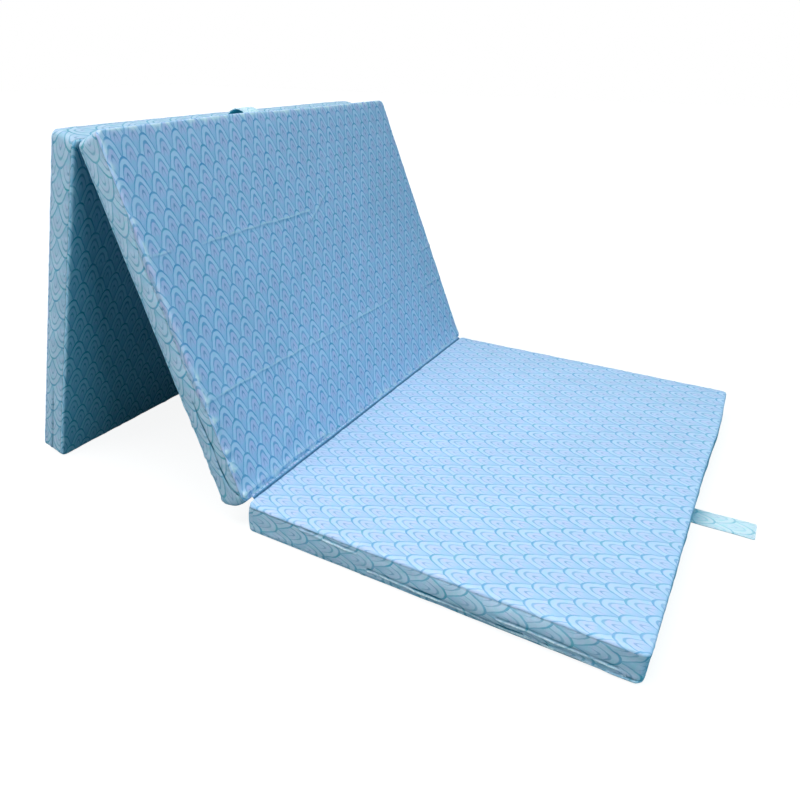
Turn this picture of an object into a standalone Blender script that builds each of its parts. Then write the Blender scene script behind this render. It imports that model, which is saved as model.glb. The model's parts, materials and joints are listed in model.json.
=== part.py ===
# Folding mattress: three foam panels in printed covers, hinged on two sewn folds.
# The seat panel lies on the floor, the backrest leans back from its front fold, and the
# rear leg hangs from the rear fold and props the backrest up.
# Run with: blender --background --python part.py
#
# Frame: metres, +Z up, +X along the seat panel towards its free end, +Y across the width.
# The origin is the middle of the seat panel's underside, on the floor.

import math

import bmesh
import bpy
from mathutils import Vector

millimetre = 0.001
inch = 0.0254

# Driving dimensions
panel_length = 24 * inch              # one panel along the mattress, over its cover
panel_width = 36 * inch               # across the mattress, over the cover
foam_thickness = 2 * inch             # the slab inside each panel
cloth_thickness = 0.8 * millimetre
fit_gap = 0.3 * millimetre            # clearance between pieces that lie on each other
backrest_angle = math.radians(65.8)   # rise of the backrest above the floor

# The cushion form of a panel
corner_radius = 12 * millimetre       # panel corners, seen from above
edge_roll = 5 * millimetre            # round where a face turns into the side band
seam_drop = 6 * millimetre            # side seam, measured down from the flat of the face
face_crown = 2.8 * millimetre         # how far the middle of a sleeping face stands proud
back_crown = 1.3 * millimetre         # the same for the two backs that are off the floor
side_bulge = 3 * millimetre           # swell of the long side bands
end_bulge = 1.2 * millimetre          # swell of the end bands

# The folds: each axis lies beyond the ends of two panels and outside the faces that meet there
front_fold_reach = 3 * millimetre
front_fold_stand = 3 * millimetre
rear_fold_reach = 1.5 * millimetre
rear_fold_stand = 1.5 * millimetre
front_bead_radius = 1.6 * millimetre  # rolled seam allowance along each fold
rear_bead_radius = 1 * millimetre

# Closing strap at the free end of the seat panel
strap_width = 48 * millimetre
strap_length = 98 * millimetre
strap_thickness = 1.6 * millimetre    # two layers of cover cloth
strap_offset = -11 * millimetre       # across the width, from the middle

# Loop over the rear fold, which the strap goes through
loop_width = 46 * millimetre
loop_thickness = 1.6 * millimetre
loop_offset = -32 * millimetre        # across the width, from the middle
loop_rise = 31 * millimetre           # crest of the loop above the rear fold's axis
loop_foot_length = 9 * millimetre     # sewn end that lies along the end band

# Counts and shapes without a size
length_cells = 6
width_cells = 8
corner_segments = 3
roll_segments = 2
bead_sides = 12
loop_cells = 14
root_segments = 3
crown_power = 4
loop_power = 4

sky_blue = (0.36, 0.62, 0.90, 1.0)
soft_aqua = (0.42, 0.66, 0.76, 1.0)
foam_cream = (0.90, 0.86, 0.70, 1.0)

# Sizes that follow
foam_inset = cloth_thickness + fit_gap
panel_thickness = foam_thickness + 2 * foam_inset
seam_length = panel_width - 2 * (corner_radius + edge_roll)
seam_low = seam_drop - fit_gap / 2
seam_high = seam_drop + fit_gap / 2
merge_distance = fit_gap / 100
overrun = panel_thickness


def clear_scene():
    for thing in list(bpy.data.objects):
        bpy.data.objects.remove(thing)


def make_collection(name):
    group = bpy.data.collections.new(name)
    bpy.context.scene.collection.children.link(group)
    return group


def make_material(name, colour):
    material = bpy.data.materials.new(name)
    material.use_nodes = True
    shader = material.node_tree.nodes["Principled BSDF"]
    shader.inputs["Base Color"].default_value = colour
    shader.inputs["Roughness"].default_value = 0.9
    shader.inputs["Metallic"].default_value = 0.0
    return material


def add_mesh_object(name, form, frame, group, colour=None):
    """Turn a bmesh into an object of its own in a frame, with its own material."""
    mesh = bpy.data.meshes.new(name)
    form.to_mesh(mesh)
    form.free()
    thing = bpy.data.objects.new(name, mesh)
    group.objects.link(thing)
    thing.parent = frame
    if colour:
        mesh.materials.append(make_material(name + "_material", colour))
    return thing


def add_frame(name, parent, location, rotation):
    frame = bpy.data.objects.new(name, None)
    frames.objects.link(frame)
    frame.parent = parent
    frame.location = location
    frame.rotation_euler = rotation
    return frame


def box_form(length, width, height):
    form = bmesh.new()
    bmesh.ops.create_cube(form, size=1)
    bmesh.ops.scale(form, vec=(length, width, height), verts=form.verts)
    return form


def cut_across(form, point, normal):
    everything = form.verts[:] + form.edges[:] + form.faces[:]
    bmesh.ops.bisect_plane(form, geom=everything, dist=merge_distance, plane_co=point,
                           plane_no=normal)


# A panel is modelled with its length along X from 0, its width across Y about 0, and its
# back at Z 0 with the sleeping face at panel_thickness.

def slab_form(inset, roll_steps):
    """A panel's plain slab with round corners and edges, drawn in all round by inset."""
    form = box_form(panel_length - 2 * inset, panel_width - 2 * inset,
                    panel_thickness - 2 * inset)
    bmesh.ops.translate(form, vec=(panel_length / 2, 0, panel_thickness / 2), verts=form.verts)
    half = panel_thickness / 2
    upright = [e for e in form.edges if (e.verts[0].co.z - half) * (e.verts[1].co.z - half) < 0]
    bmesh.ops.bevel(form, geom=upright, offset=corner_radius - inset, affect="EDGES",
                    segments=corner_segments, profile=0.5)
    level = [e for e in form.edges if (e.verts[0].co.z - half) * (e.verts[1].co.z - half) > 0]
    bmesh.ops.bevel(form, geom=level, offset=edge_roll - inset, affect="EDGES",
                    segments=roll_steps, profile=0.5)
    return form


def crown_share(x, y):
    """Rise of a face at a point, from 0 along the panel's edges to 1 in its middle."""
    across_length = abs(2 * x / panel_length - 1)
    across_width = abs(2 * y / panel_width)
    return max(1 - across_length ** crown_power, 0) * max(1 - across_width ** crown_power, 0)


def bulge_at(x, y, z):
    """How far the side band swells out at a point, as a vector."""
    inner_x = min(max(x, corner_radius), panel_length - corner_radius)
    inner_y = min(max(y, corner_radius - panel_width / 2), panel_width / 2 - corner_radius)
    outward = Vector((x - inner_x, y - inner_y, 0))
    height_share = (z - seam_high) / (panel_thickness - 2 * seam_high)
    if outward.length == 0 or not 0 < height_share < 1:
        return Vector()
    outward.normalize()
    side_reach = side_bulge * math.sin(math.pi * min(max(x / panel_length, 0), 1))
    end_reach = end_bulge * math.cos(math.pi * min(max(y / panel_width, -0.5), 0.5))
    reach = side_reach * abs(outward.y) + end_reach * abs(outward.x)
    return outward * reach * math.sin(math.pi * height_share)


def cushion_form(bottom_crown):
    """The closed outer skin of a panel: crowned faces, rolled edges and swelling bands."""
    form = slab_form(0, roll_segments)
    for step in range(1, length_cells):
        cut_across(form, (panel_length * step / length_cells, 0, 0), (1, 0, 0))
    for step in range(1, width_cells):
        cut_across(form, (0, panel_width * (step / width_cells - 0.5), 0), (0, 1, 0))
    for side in (-1, 1):
        across = side * (panel_width / 2 - corner_radius)
        along = panel_length / 2 + side * (panel_length / 2 - corner_radius)
        cut_across(form, (0, across, 0), (0, 1, 0))
        cut_across(form, (along, 0, 0), (1, 0, 0))
    for height in (seam_low, seam_high, panel_thickness / 2,
                   panel_thickness - seam_high, panel_thickness - seam_low):
        cut_across(form, (0, 0, height), (0, 0, 1))
    for vert in form.verts:
        x, y, z = vert.co
        vert.co += bulge_at(x, y, z)
        depth = min(z, panel_thickness - z)
        crown = crown_share(x, y) * max(1 - depth / edge_roll, 0)
        vert.co.z += face_crown * crown if z > panel_thickness / 2 else -bottom_crown * crown
    bmesh.ops.recalc_face_normals(form, faces=form.faces)
    return form


def cloth_between(name, frame, offset, bottom_crown, low, high, colour):
    """The cloth of a panel between two heights, as a sheet that has its thickness inwards."""
    form = cushion_form(bottom_crown)
    unwanted = [f for f in form.faces if not low < f.calc_center_median().z < high]
    bmesh.ops.delete(form, geom=unwanted, context="FACES")
    bmesh.ops.translate(form, vec=offset, verts=form.verts)
    for face in form.faces:
        face.smooth = True
    for edge in form.edges:
        edge.smooth = not edge.is_boundary
    cloth = add_mesh_object(name, form, frame, parts, colour)
    shell = cloth.modifiers.new("cloth", "SOLIDIFY")
    shell.thickness = cloth_thickness
    shell.offset = -1
    shell.use_even_offset = True
    return cloth


def make_panel(name, frame, offset, bottom_crown):
    """Foam, side band and the two face cloths of one panel, placed at offset in its frame."""
    foam = slab_form(foam_inset, 1)
    bmesh.ops.translate(foam, vec=offset, verts=foam.verts)
    add_mesh_object(name + "_foam", foam, frame, parts, foam_cream)
    top = panel_thickness
    cloth_between(name + "_side_band", frame, offset, bottom_crown,
                  seam_high, top - seam_high, soft_aqua)
    face_cloth = cloth_between(name + "_face_cloth", frame, offset, bottom_crown,
                               top - seam_low, top + overrun, sky_blue)
    back_cloth = cloth_between(name + "_back_cloth", frame, offset, bottom_crown,
                               -overrun, seam_low, sky_blue)
    return face_cloth, back_cloth


def join_tongue(cloth, name, frame, roll_centre, axis, bead_radius):
    """Join to a cloth the strip of it that runs out to the bead on a fold's axis.

    roll_centre is the centre of the panel's edge roll, and both points are in the frame.
    """
    run = roll_centre - axis
    start = bead_radius + fit_gap
    finish = run.length - edge_roll + cloth_thickness / 2
    form = box_form(finish - start, seam_length, cloth_thickness)
    tongue = add_mesh_object(name, form, frame, cutters)
    tongue.location = axis + run.normalized() * (start + finish) / 2
    tongue.rotation_euler = (0, -math.atan2(run.z, run.x), 0)
    tongue.hide_render = True
    tongue.display_type = "WIRE"
    joined = cloth.modifiers.new("fold", "BOOLEAN")
    joined.operation = "UNION"
    joined.solver = "EXACT"
    joined.object = tongue


def make_bead(name, frame, radius):
    """The rolled seam along a fold: a thin round bar on the fold's axis."""
    form = bmesh.new()
    bmesh.ops.create_cone(form, cap_ends=True, segments=bead_sides, radius1=radius,
                          radius2=radius, depth=seam_length)
    for face in form.faces:
        face.smooth = len(face.verts) == 4
    bead = add_mesh_object(name, form, frame, parts, sky_blue)
    bead.rotation_euler = (math.pi / 2, 0, 0)


def make_strap(frame):
    """Closing strap: a flat doubled strip, round at its root, which lies on its own axis."""
    half = strap_thickness / 2
    form = box_form(strap_length, strap_width, strap_thickness)
    bmesh.ops.translate(form, vec=(strap_length / 2 - half, 0, 0), verts=form.verts)
    root = [e for e in form.edges
            if all(v.co.x < 0 for v in e.verts)
            and e.verts[0].co.y * e.verts[1].co.y < 0]
    bmesh.ops.bevel(form, geom=root, offset=half - merge_distance, affect="EDGES",
                    segments=root_segments, profile=0.5)
    add_mesh_object("closing_strap", form, frame, parts, soft_aqua)


def make_loop(frame, valley):
    """Loop over the rear fold: a strip that arches from one end band to the other.

    valley is the angle between the two end bands, and the frame's Z halves it.
    """
    half = valley / 2
    along_band = Vector((math.sin(half), 0, math.cos(half)))
    off_band = Vector((-math.cos(half), 0, math.sin(half)))
    clear = end_bulge - rear_fold_reach + fit_gap + loop_thickness / 2
    foot = along_band * (rear_fold_stand + panel_thickness / 2) + off_band * clear
    toe = foot + along_band * loop_foot_length
    steps = loop_cells + 2
    form = bmesh.new()
    bmesh.ops.create_grid(form, x_segments=steps, y_segments=1, size=1)
    for vert in form.verts:
        side = math.copysign(1, vert.co.y)
        across_share = vert.co.x * steps / loop_cells
        rise_share = 1 - abs(across_share) ** loop_power
        if abs(across_share) > 1 + 1 / steps:
            place = Vector((math.copysign(toe.x, across_share), 0, toe.z))
        else:
            place = Vector((foot.x * across_share, 0,
                            foot.z + (loop_rise - foot.z) * rise_share))
        vert.co = (place.x, side * loop_width / 2, place.z)
    for face in form.faces:
        face.smooth = True
    for edge in form.edges:
        edge.smooth = not edge.is_boundary
    loop = add_mesh_object("closing_loop", form, frame, parts, soft_aqua)
    shell = loop.modifiers.new("cloth", "SOLIDIFY")
    shell.thickness = loop_thickness
    shell.offset = 0
    shell.use_even_offset = True


clear_scene()
parts = make_collection("folding_mattress")
frames = make_collection("frames")
cutters = make_collection("cutters")

# The seat's frame is at the foot of its fold end, on the floor.
seat_frame = add_frame("seat_frame", None, (-panel_length / 2, 0, 0), (0, 0, 0))
front_axis = Vector((-front_fold_reach, 0, panel_thickness + front_fold_stand))

# The backrest's frame is on the front fold's axis. Its X runs up the backrest, and its Z
# points out of the sleeping face.
backrest_frame = add_frame("backrest_frame", seat_frame, front_axis,
                           (0, -backrest_angle, math.pi))
backrest_offset = Vector((front_fold_reach, 0, -panel_thickness - front_fold_stand))
rear_axis = Vector((front_fold_reach + panel_length + rear_fold_reach, 0,
                    -front_fold_stand - panel_thickness - rear_fold_stand))
rear_axis_height = (front_axis.z + rear_axis.x * math.sin(backrest_angle)
                    + rear_axis.z * math.cos(backrest_angle))

# The rear leg's frame is on the rear fold's axis. Its X runs down the leg, and its Z points
# away from the backrest. The leg leans so that its rounded foot just reaches the floor.
foot_along = rear_fold_reach + panel_length - edge_roll
foot_across = rear_fold_stand + edge_roll
leg_lean = (math.acos((rear_axis_height - edge_roll) / math.hypot(foot_along, foot_across))
            - math.atan2(foot_across, foot_along))
rear_opening = math.pi / 2 + backrest_angle - leg_lean
rear_leg_frame = add_frame("rear_leg_frame", backrest_frame, rear_axis, (0, rear_opening, 0))
rear_leg_offset = Vector((rear_fold_reach, 0, rear_fold_stand))

seat_face, seat_back = make_panel("seat", seat_frame, Vector(), 0)
backrest_face, backrest_back = make_panel("backrest", backrest_frame, backrest_offset,
                                          back_crown)
leg_face, leg_back = make_panel("rear_leg", rear_leg_frame, rear_leg_offset, back_crown)

# Both cloths that meet at a fold run out to the bead on its axis.
join_tongue(seat_face, "seat_tongue", seat_frame,
            Vector((edge_roll, 0, panel_thickness - edge_roll)), front_axis,
            front_bead_radius)
join_tongue(backrest_face, "backrest_face_tongue", backrest_frame,
            backrest_offset + Vector((edge_roll, 0, panel_thickness - edge_roll)), Vector(),
            front_bead_radius)
join_tongue(backrest_back, "backrest_back_tongue", backrest_frame,
            backrest_offset + Vector((panel_length - edge_roll, 0, edge_roll)), rear_axis,
            rear_bead_radius)
join_tongue(leg_back, "rear_leg_tongue", rear_leg_frame,
            rear_leg_offset + Vector((edge_roll, 0, edge_roll)), Vector(), rear_bead_radius)
make_bead("front_fold_seam", backrest_frame, front_bead_radius)
make_bead("rear_fold_seam", rear_leg_frame, rear_bead_radius)

# The strap's root lies against the seat's lower edge roll while the strap is flat on the floor.
root_reach = edge_roll + fit_gap + strap_thickness / 2
root_drop = edge_roll - strap_thickness / 2
strap_axis_x = panel_length - edge_roll + math.sqrt(root_reach ** 2 - root_drop ** 2)
strap_frame = add_frame("strap_frame", seat_frame,
                        (strap_axis_x, strap_offset, strap_thickness / 2), (0, 0, 0))
make_strap(strap_frame)

# The loop stands over the valley between the two end bands, in the plane that halves it.
loop_frame = add_frame("loop_frame", backrest_frame, rear_axis + Vector((0, -loop_offset, 0)),
                       (0, rear_opening / 2, 0))
make_loop(loop_frame, rear_opening)

bpy.context.view_layer.update()
for frame in (backrest_frame, rear_leg_frame, strap_frame, loop_frame):
    print(frame.name, "at", [round(v, 6) for v in frame.matrix_world.translation])
print("rear leg lean in degrees", round(math.degrees(leg_lean), 4))
print("rear fold opening in degrees", round(math.degrees(rear_opening), 4))
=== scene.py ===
import json
import math

import bmesh
import bpy
import numpy as np
from mathutils import Matrix, Vector

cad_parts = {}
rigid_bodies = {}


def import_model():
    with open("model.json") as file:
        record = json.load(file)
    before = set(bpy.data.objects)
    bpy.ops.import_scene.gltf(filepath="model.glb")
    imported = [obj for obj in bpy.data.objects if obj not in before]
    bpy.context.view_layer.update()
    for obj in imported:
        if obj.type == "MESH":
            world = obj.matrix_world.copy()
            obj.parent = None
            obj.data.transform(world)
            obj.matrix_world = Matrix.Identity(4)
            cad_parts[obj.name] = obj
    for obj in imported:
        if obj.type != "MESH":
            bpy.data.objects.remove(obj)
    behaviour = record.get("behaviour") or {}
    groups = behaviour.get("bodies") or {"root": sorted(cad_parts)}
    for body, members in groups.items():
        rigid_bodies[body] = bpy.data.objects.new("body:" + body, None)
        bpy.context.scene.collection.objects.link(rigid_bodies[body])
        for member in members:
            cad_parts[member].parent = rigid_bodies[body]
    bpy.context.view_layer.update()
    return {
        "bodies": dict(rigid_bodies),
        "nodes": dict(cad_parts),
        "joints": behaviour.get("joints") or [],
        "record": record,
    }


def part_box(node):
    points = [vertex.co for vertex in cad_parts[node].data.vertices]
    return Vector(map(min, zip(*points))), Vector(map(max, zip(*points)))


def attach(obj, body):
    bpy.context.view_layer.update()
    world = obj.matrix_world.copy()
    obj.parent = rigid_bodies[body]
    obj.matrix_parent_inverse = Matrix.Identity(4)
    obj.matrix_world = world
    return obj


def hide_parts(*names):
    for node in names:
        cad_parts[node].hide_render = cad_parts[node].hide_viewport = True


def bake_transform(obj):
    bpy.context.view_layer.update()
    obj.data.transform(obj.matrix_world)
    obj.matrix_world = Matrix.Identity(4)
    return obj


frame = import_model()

# Places of the panels, the strap and the loop, as in the part's source
panel = {
    "length": 0.6096,
    "width": 0.9144,
    "thickness": 0.053,
    "cornerRadius": 0.012,
    "edgeRoll": 0.005,
    "seamDrop": 0.006,       # side seam below the flat of a face
    "seamHalf": 0.0011,      # half the width of the drawn-in seam
    "faceCell": 0.0084,      # size of the grid on the faces
    "bandRow": 0.0036,       # height of a row of the grid on the side bands
    "lineHalf": 0.0025,      # half the width of the print's outline, at an arch's tip
}
backrestAngle = math.radians(65.8)
rearOpening = math.radians(142.1943)
frontAxis = Vector((-0.3078, 0, 0.056))

frontStand, rearStand = 0.003, 0.0015     # each axis lies this far outside the panels
foldTurn = (Matrix.Translation(frontAxis) @ Matrix.Rotation(math.pi, 4, "Z")
            @ Matrix.Rotation(-backrestAngle, 4, "Y"))
rearFoldFrame = foldTurn @ Matrix.Translation((frontStand + panel["length"] + rearStand, 0,
                                               -panel["thickness"] - frontStand - rearStand))
panelPlace = {
    "seat": Matrix.Translation((-panel["length"] / 2, 0, 0)),
    "backrest": foldTurn @ Matrix.Translation((frontStand, 0, -panel["thickness"] - frontStand)),
    "rear_leg": (rearFoldFrame @ Matrix.Rotation(rearOpening, 4, "Y")
                 @ Matrix.Translation((rearStand, 0, rearStand))),
}


def objectMode():
    if bpy.context.object and bpy.context.object.mode != "OBJECT":
        bpy.ops.object.mode_set(mode="OBJECT")


def deselectAll():
    objectMode()
    bpy.ops.object.select_all(action="DESELECT")


def makeActive(piece):
    deselectAll()
    piece.select_set(True)
    bpy.context.view_layer.objects.active = piece


def nameActive(name):
    piece = bpy.context.object
    piece.name = name
    piece.data.name = name
    return piece


def applyAll(piece):
    makeActive(piece)
    for modifier in list(piece.modifiers):
        bpy.ops.object.modifier_apply(modifier=modifier.name)


def settle(piece, place):
    # the finished object stays at the origin, with its place in its mesh
    piece.data.transform(place)
    piece.data.update()


def copyPiece(piece, name):
    twin = piece.copy()
    twin.data = piece.data.copy()
    twin.name = name
    twin.data.name = name
    bpy.context.scene.collection.objects.link(twin)
    return twin


def selectEdges(piece, test):
    # in edit mode: selects the edges whose two ends pass the test
    form = bmesh.from_edit_mesh(piece.data)
    for face in form.faces:
        face.select = False
    for edge in form.edges:
        edge.select = False
    for vert in form.verts:
        vert.select = False
    for edge in form.edges:
        if test(edge.verts[0].co, edge.verts[1].co):
            edge.select = True
    form.select_mode = {"EDGE"}
    form.select_flush_mode()
    bmesh.update_edit_mesh(piece.data)


def editEdges():
    bpy.ops.object.transform_apply(location=True, rotation=True, scale=True)
    bpy.ops.object.mode_set(mode="EDIT")
    bpy.ops.mesh.select_mode(type="EDGE")


def startBlock(name, size, place):
    # a box in edit mode, ready for its edges to be chosen
    deselectAll()
    bpy.ops.mesh.primitive_cube_add(size=1, location=place, scale=size)
    block = nameActive(name)
    editEdges()
    return block


def roundEdges(piece, test, offset, segments):
    selectEdges(piece, test)
    bpy.ops.mesh.bevel(offset=offset, segments=segments, profile=0.5, affect="EDGES")


def cutAcross(point, normal):
    bpy.ops.mesh.select_all(action="SELECT")
    bpy.ops.mesh.bisect(plane_co=point, plane_no=normal, use_fill=False, threshold=0.00001)


def pointsOf(piece, kind="co"):
    flat = np.empty(len(piece.data.vertices) * 3, np.float32)
    piece.data.vertices.foreach_get(kind, flat)
    return flat.reshape(-1, 3).astype(float)


def movePoints(piece, x, y, z):
    piece.data.vertices.foreach_set("co", np.stack([x, y, z], 1).astype(np.float32).ravel())
    piece.data.update()


def numbersOf(items, name):
    values = np.empty(len(items), np.int32)
    items.foreach_get(name, values)
    return values


def layMap(piece, name, u, v):
    # the two lengths of each face corner, in metres
    uvMap = piece.data.uv_layers.new(name=name)
    uvMap.data.foreach_set("uv", np.stack([u, v], 1).astype(np.float32).ravel())


def ripple(along, across, seed, cell):
    # smooth noise between about -1 and 1 over two lengths in metres, from a seeded table
    table = np.random.default_rng(seed).uniform(-1, 1, (64, 64))
    u, v = along / cell, across / cell
    iu, iv = np.floor(u).astype(int), np.floor(v).astype(int)
    fu, fv = u - iu, v - iv
    fu, fv = fu * fu * (3 - 2 * fu), fv * fv * (3 - 2 * fv)
    at = lambda a, b: table[a % 64, b % 64]
    low = at(iu, iv) * (1 - fu) + at(iu + 1, iv) * fu
    high = at(iu, iv + 1) * (1 - fu) + at(iu + 1, iv + 1) * fu
    return low * (1 - fv) + high * fv


def smoothShare(value, low, high):
    share = np.clip((value - low) / (high - low), 0, 1)
    return share * share * (3 - 2 * share)


def hump(value, middle, half):
    return np.exp(-((value - middle) / half) ** 2)


def fadeOut(distance, reach):
    return np.exp(-np.clip(distance, 0, None) / reach)


def setSocket(tree, socket, value):
    # a number or a colour goes on the socket itself, and another node's output is linked
    if isinstance(value, bpy.types.NodeSocket):
        tree.links.new(value, socket)
    elif isinstance(value, tuple) and socket.type == "RGBA":
        socket.default_value = (*value, 1)
    else:
        socket.default_value = value


def addNode(tree, kind, **values):
    # settings that are sockets are named with a capital
    node = tree.nodes.new("ShaderNode" + kind)
    for name, value in values.items():
        if name[0].islower():
            setattr(node, name, value)
    for name, value in values.items():
        if name[0].isupper():
            setSocket(tree, node.inputs[name.replace("_", " ")], value)
    return node


def mathNode(tree, operation, a, b=None, c=None, clamp=False):
    node = addNode(tree, "Math", operation=operation, use_clamp=clamp)
    for index, value in enumerate((a, b, c)):
        if value is not None:
            setSocket(tree, node.inputs[index], value)
    return node.outputs[0]


def times(tree, a, b):
    return mathNode(tree, "MULTIPLY", a, b)


def plus(tree, a, b):
    return mathNode(tree, "ADD", a, b)


def minus(tree, a, b, clamp=False):
    return mathNode(tree, "SUBTRACT", a, b, None, clamp)


def vectorNode(tree, operation, a, b=None, scale=None):
    node = addNode(tree, "VectorMath", operation=operation)
    for index, value in ((0, a), (1, b), (3, scale)):
        if value is not None:
            setSocket(tree, node.inputs[index], value)
    return node.outputs[0]


def partsOf(tree, vector):
    return addNode(tree, "SeparateXYZ", Vector=vector).outputs


def rangeNode(tree, value, low, high, start=0.0, end=1.0, smooth=True):
    node = addNode(tree, "MapRange", interpolation_type="SMOOTHSTEP" if smooth else "LINEAR", Value=value,
                   From_Min=low, From_Max=high, To_Min=start, To_Max=end)
    return node.outputs["Result"]


def mixColour(tree, share, a, b, blend="MIX"):
    node = addNode(tree, "Mix", data_type="RGBA", blend_type=blend, Factor=share)
    setSocket(tree, node.inputs[6], a)
    setSocket(tree, node.inputs[7], b)
    return node.outputs[2]


def noiseNode(tree, vector, scale, detail=2.0, rough=0.5):
    return addNode(tree, "TexNoise", Scale=scale, Detail=detail, Roughness=rough, Vector=vector)


def greyOf(tree, value):
    return addNode(tree, "CombineColor", Red=value, Green=value, Blue=value).outputs["Color"]


def bumpNode(tree, height, distance, strength=1.0, under=None):
    node = addNode(tree, "Bump", Strength=strength, Distance=distance, Height=height)
    if under:
        tree.links.new(under, node.inputs["Normal"])
    return node.outputs["Normal"]


def mixShaders(tree, share, first, second, target):
    mix = addNode(tree, "MixShader")
    for index, value in enumerate((share, first.outputs[0], second.outputs[0])):
        setSocket(tree, mix.inputs[index], value)
    addNode(tree, target, Surface=mix.outputs[0])


def giveOut(tree, result, **values):
    for name, value in values.items():
        tree.links.new(value, result.inputs[name])
    return tree


view = {
    "location": (0.31857, -1.25317, 0.72123),
    "yaw": 31.9937,
    "down": 24.2195,
    "roll": 0.3767,
    "lens": 33.179,
    "shiftRight": 0.10595,
    "shiftUp": -0.02136,
}
bpy.ops.object.camera_add(location=view["location"])
camera = bpy.context.object
camera.name = "photoCamera"
turn = (Matrix.Rotation(math.radians(view["yaw"]), 3, "Z")
        @ Matrix.Rotation(math.radians(90 - view["down"]), 3, "X")
        @ Matrix.Rotation(math.radians(view["roll"]), 3, "Z"))
camera.rotation_euler = turn.to_euler()
camera.data.lens = view["lens"]
camera.data.sensor_width = 36
camera.data.shift_x = view["shiftRight"]
camera.data.shift_y = view["shiftUp"]
camera.data.clip_start = 0.02
bpy.context.scene.camera = camera
print("camera placed")

light = {
    "overheadPower": 254,
    "overheadSize": 4.4,
    "overheadPlace": (-1.25, -0.75, 4.9),
    "sidePower": 36,
    "sideSize": 1.8,
    "sidePlace": (-1.0, -3.2, 1.0),
    "frontPower": 22,
    "frontPlace": (2.3, -0.6, 0.8),
    "frontTint": (0.36, 0.78, 0.95),
    "ambient": 0.17,
    "ambientTint": (0.16, 0.88, 0.98),
}


def addLamp(name, power, size, place, target):
    bpy.ops.object.light_add(type="AREA", location=place)
    lamp = bpy.context.object
    lamp.name = name
    lamp.data.energy = power
    lamp.data.size = size
    lamp.data.shape = "SQUARE"
    lamp.rotation_euler = (Vector(target) - Vector(place)).to_track_quat("-Z", "Y").to_euler()
    return lamp


addLamp("overheadLamp", light["overheadPower"], light["overheadSize"], light["overheadPlace"],
        (-0.05, 0, 0.1))
addLamp("sideLamp", light["sidePower"], light["sideSize"], light["sidePlace"], (-0.2, 0, 0.2))
frontLamp = addLamp("frontLamp", light["frontPower"], light["sideSize"], light["frontPlace"],
                    (-0.4, 0, 0.3))
frontLamp.data.color = light["frontTint"]

world = bpy.data.worlds.new("studioWorld")
bpy.context.scene.world = world
world.use_nodes = True
tree = world.node_tree
tree.nodes.clear()
path = addNode(tree, "LightPath")
seen = mathNode(tree, "MAXIMUM", path.outputs["Is Camera Ray"], path.outputs["Is Transmission Ray"])
sky = addNode(tree, "Background", Color=light["ambientTint"], Strength=light["ambient"])
backdrop = addNode(tree, "Background", Color=(1, 1, 1), Strength=1)
mixShaders(tree, seen, sky, backdrop, "OutputWorld")

floorLook = {
    "size": 24,
    "seenWhite": 0.97,      # colour of the floor to the camera
    "bounceGrey": (0.035, 0.12, 0.14),   # colour of the floor to the light that it sends back
    "shadowEdge": (0.75, 1.3),   # the lit floor fades into the white backdrop between these distances
    "shadowKept": 0.2,      # share of the object's shadow that shows
    "glow": 1.12,           # a little over white, so that only the shadow is darker than white
}


def makeFloor():
    deselectAll()
    bpy.ops.mesh.primitive_plane_add(size=floorLook["size"], location=(0, 0, -0.0004))
    floor = nameActive("studioFloor")
    bpy.ops.object.transform_apply(location=True, rotation=True, scale=True)
    material = bpy.data.materials.new("studioFloorPaint")
    material.use_nodes = True
    tree = material.node_tree
    tree.nodes.clear()
    seen = addNode(tree, "LightPath").outputs["Is Camera Ray"]
    pale = floorLook["seenWhite"]
    colour = mixColour(tree, seen, floorLook["bounceGrey"], (pale, pale, pale))
    lit = addNode(tree, "BsdfDiffuse", Color=colour)
    glow = addNode(tree, "Emission", Color=(1, 1, 1), Strength=floorLook["glow"])
    place = addNode(tree, "TexCoord").outputs["Object"]
    far = addNode(tree, "VectorMath", operation="LENGTH", Vector=place).outputs["Value"]
    fade = rangeNode(tree, far, *floorLook["shadowEdge"], 1 - floorLook["shadowKept"], 1)
    mixShaders(tree, times(tree, fade, seen), lit, glow, "OutputMaterial")
    floor.data.materials.append(material)


makeFloor()
bpy.context.scene.view_settings.view_transform = "Standard"
print("floor and lamps placed")


def startGroup(name, inputs, outputs):
    # an input that starts with no value is a vector, with a tuple a colour, and else a number
    group = bpy.data.node_groups.new(name, "ShaderNodeTree")
    for label, value in inputs:
        kind = "Vector" if value is None else "Color" if isinstance(value, tuple) else "Float"
        socket = group.interface.new_socket(name=label, in_out="INPUT", socket_type="NodeSocket" + kind)
        if value is not None:
            socket.default_value = value
    for label, kind in outputs:
        group.interface.new_socket(name=label, in_out="OUTPUT", socket_type=kind)
    return group, group.nodes.new("NodeGroupInput").outputs, group.nodes.new("NodeGroupOutput")


# the drawing of one arch of the print, in mm where not said otherwise
arch = {
    "power": 2.2,               # how pointed the arches are
    "secondTip": 12.6,          # tip of the second arch below the outline's tip
    "secondHalf": 12.8,         # where its sides come down by one row
    "thirdTip": 25.6,
    "thirdHalf": 6.6,
    "fall": 29.3,
    "line": (5.0, 2.2, 2.6),    # width of the outline, more of it on the legs, and its soft rim
    "legs": (0.25, 0.8),        # where an arch's legs begin, as shares of half a column
    "secondLine": 1.6,          # middle of the second arch's line
    "thirdLine": 1.2,
    "thirdSides": (3.0, 5.5),   # the third line fades out towards its sides
    "heartEdge": (1.0, 4.0),    # colours change between these distances inside the second arch
    "groundEdge": (30.0, 46.0),     # and these below the tip
    "lowGroundEdge": (42.0, 58.0),
    "wobbleScale": 90,
    "greenPatches": (16, 0.47, 0.62),   # scale of the noise, and where it starts and ends
    "inkPatches": (34, 0.3, 0.7, 0.72),     # with how much ink the palest patches have
    "clouds": 120,
    "lilac": (1.12, 0.98, 1.02),
    "seaGreen": (0.86, 1.0, 0.97),
}


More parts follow.
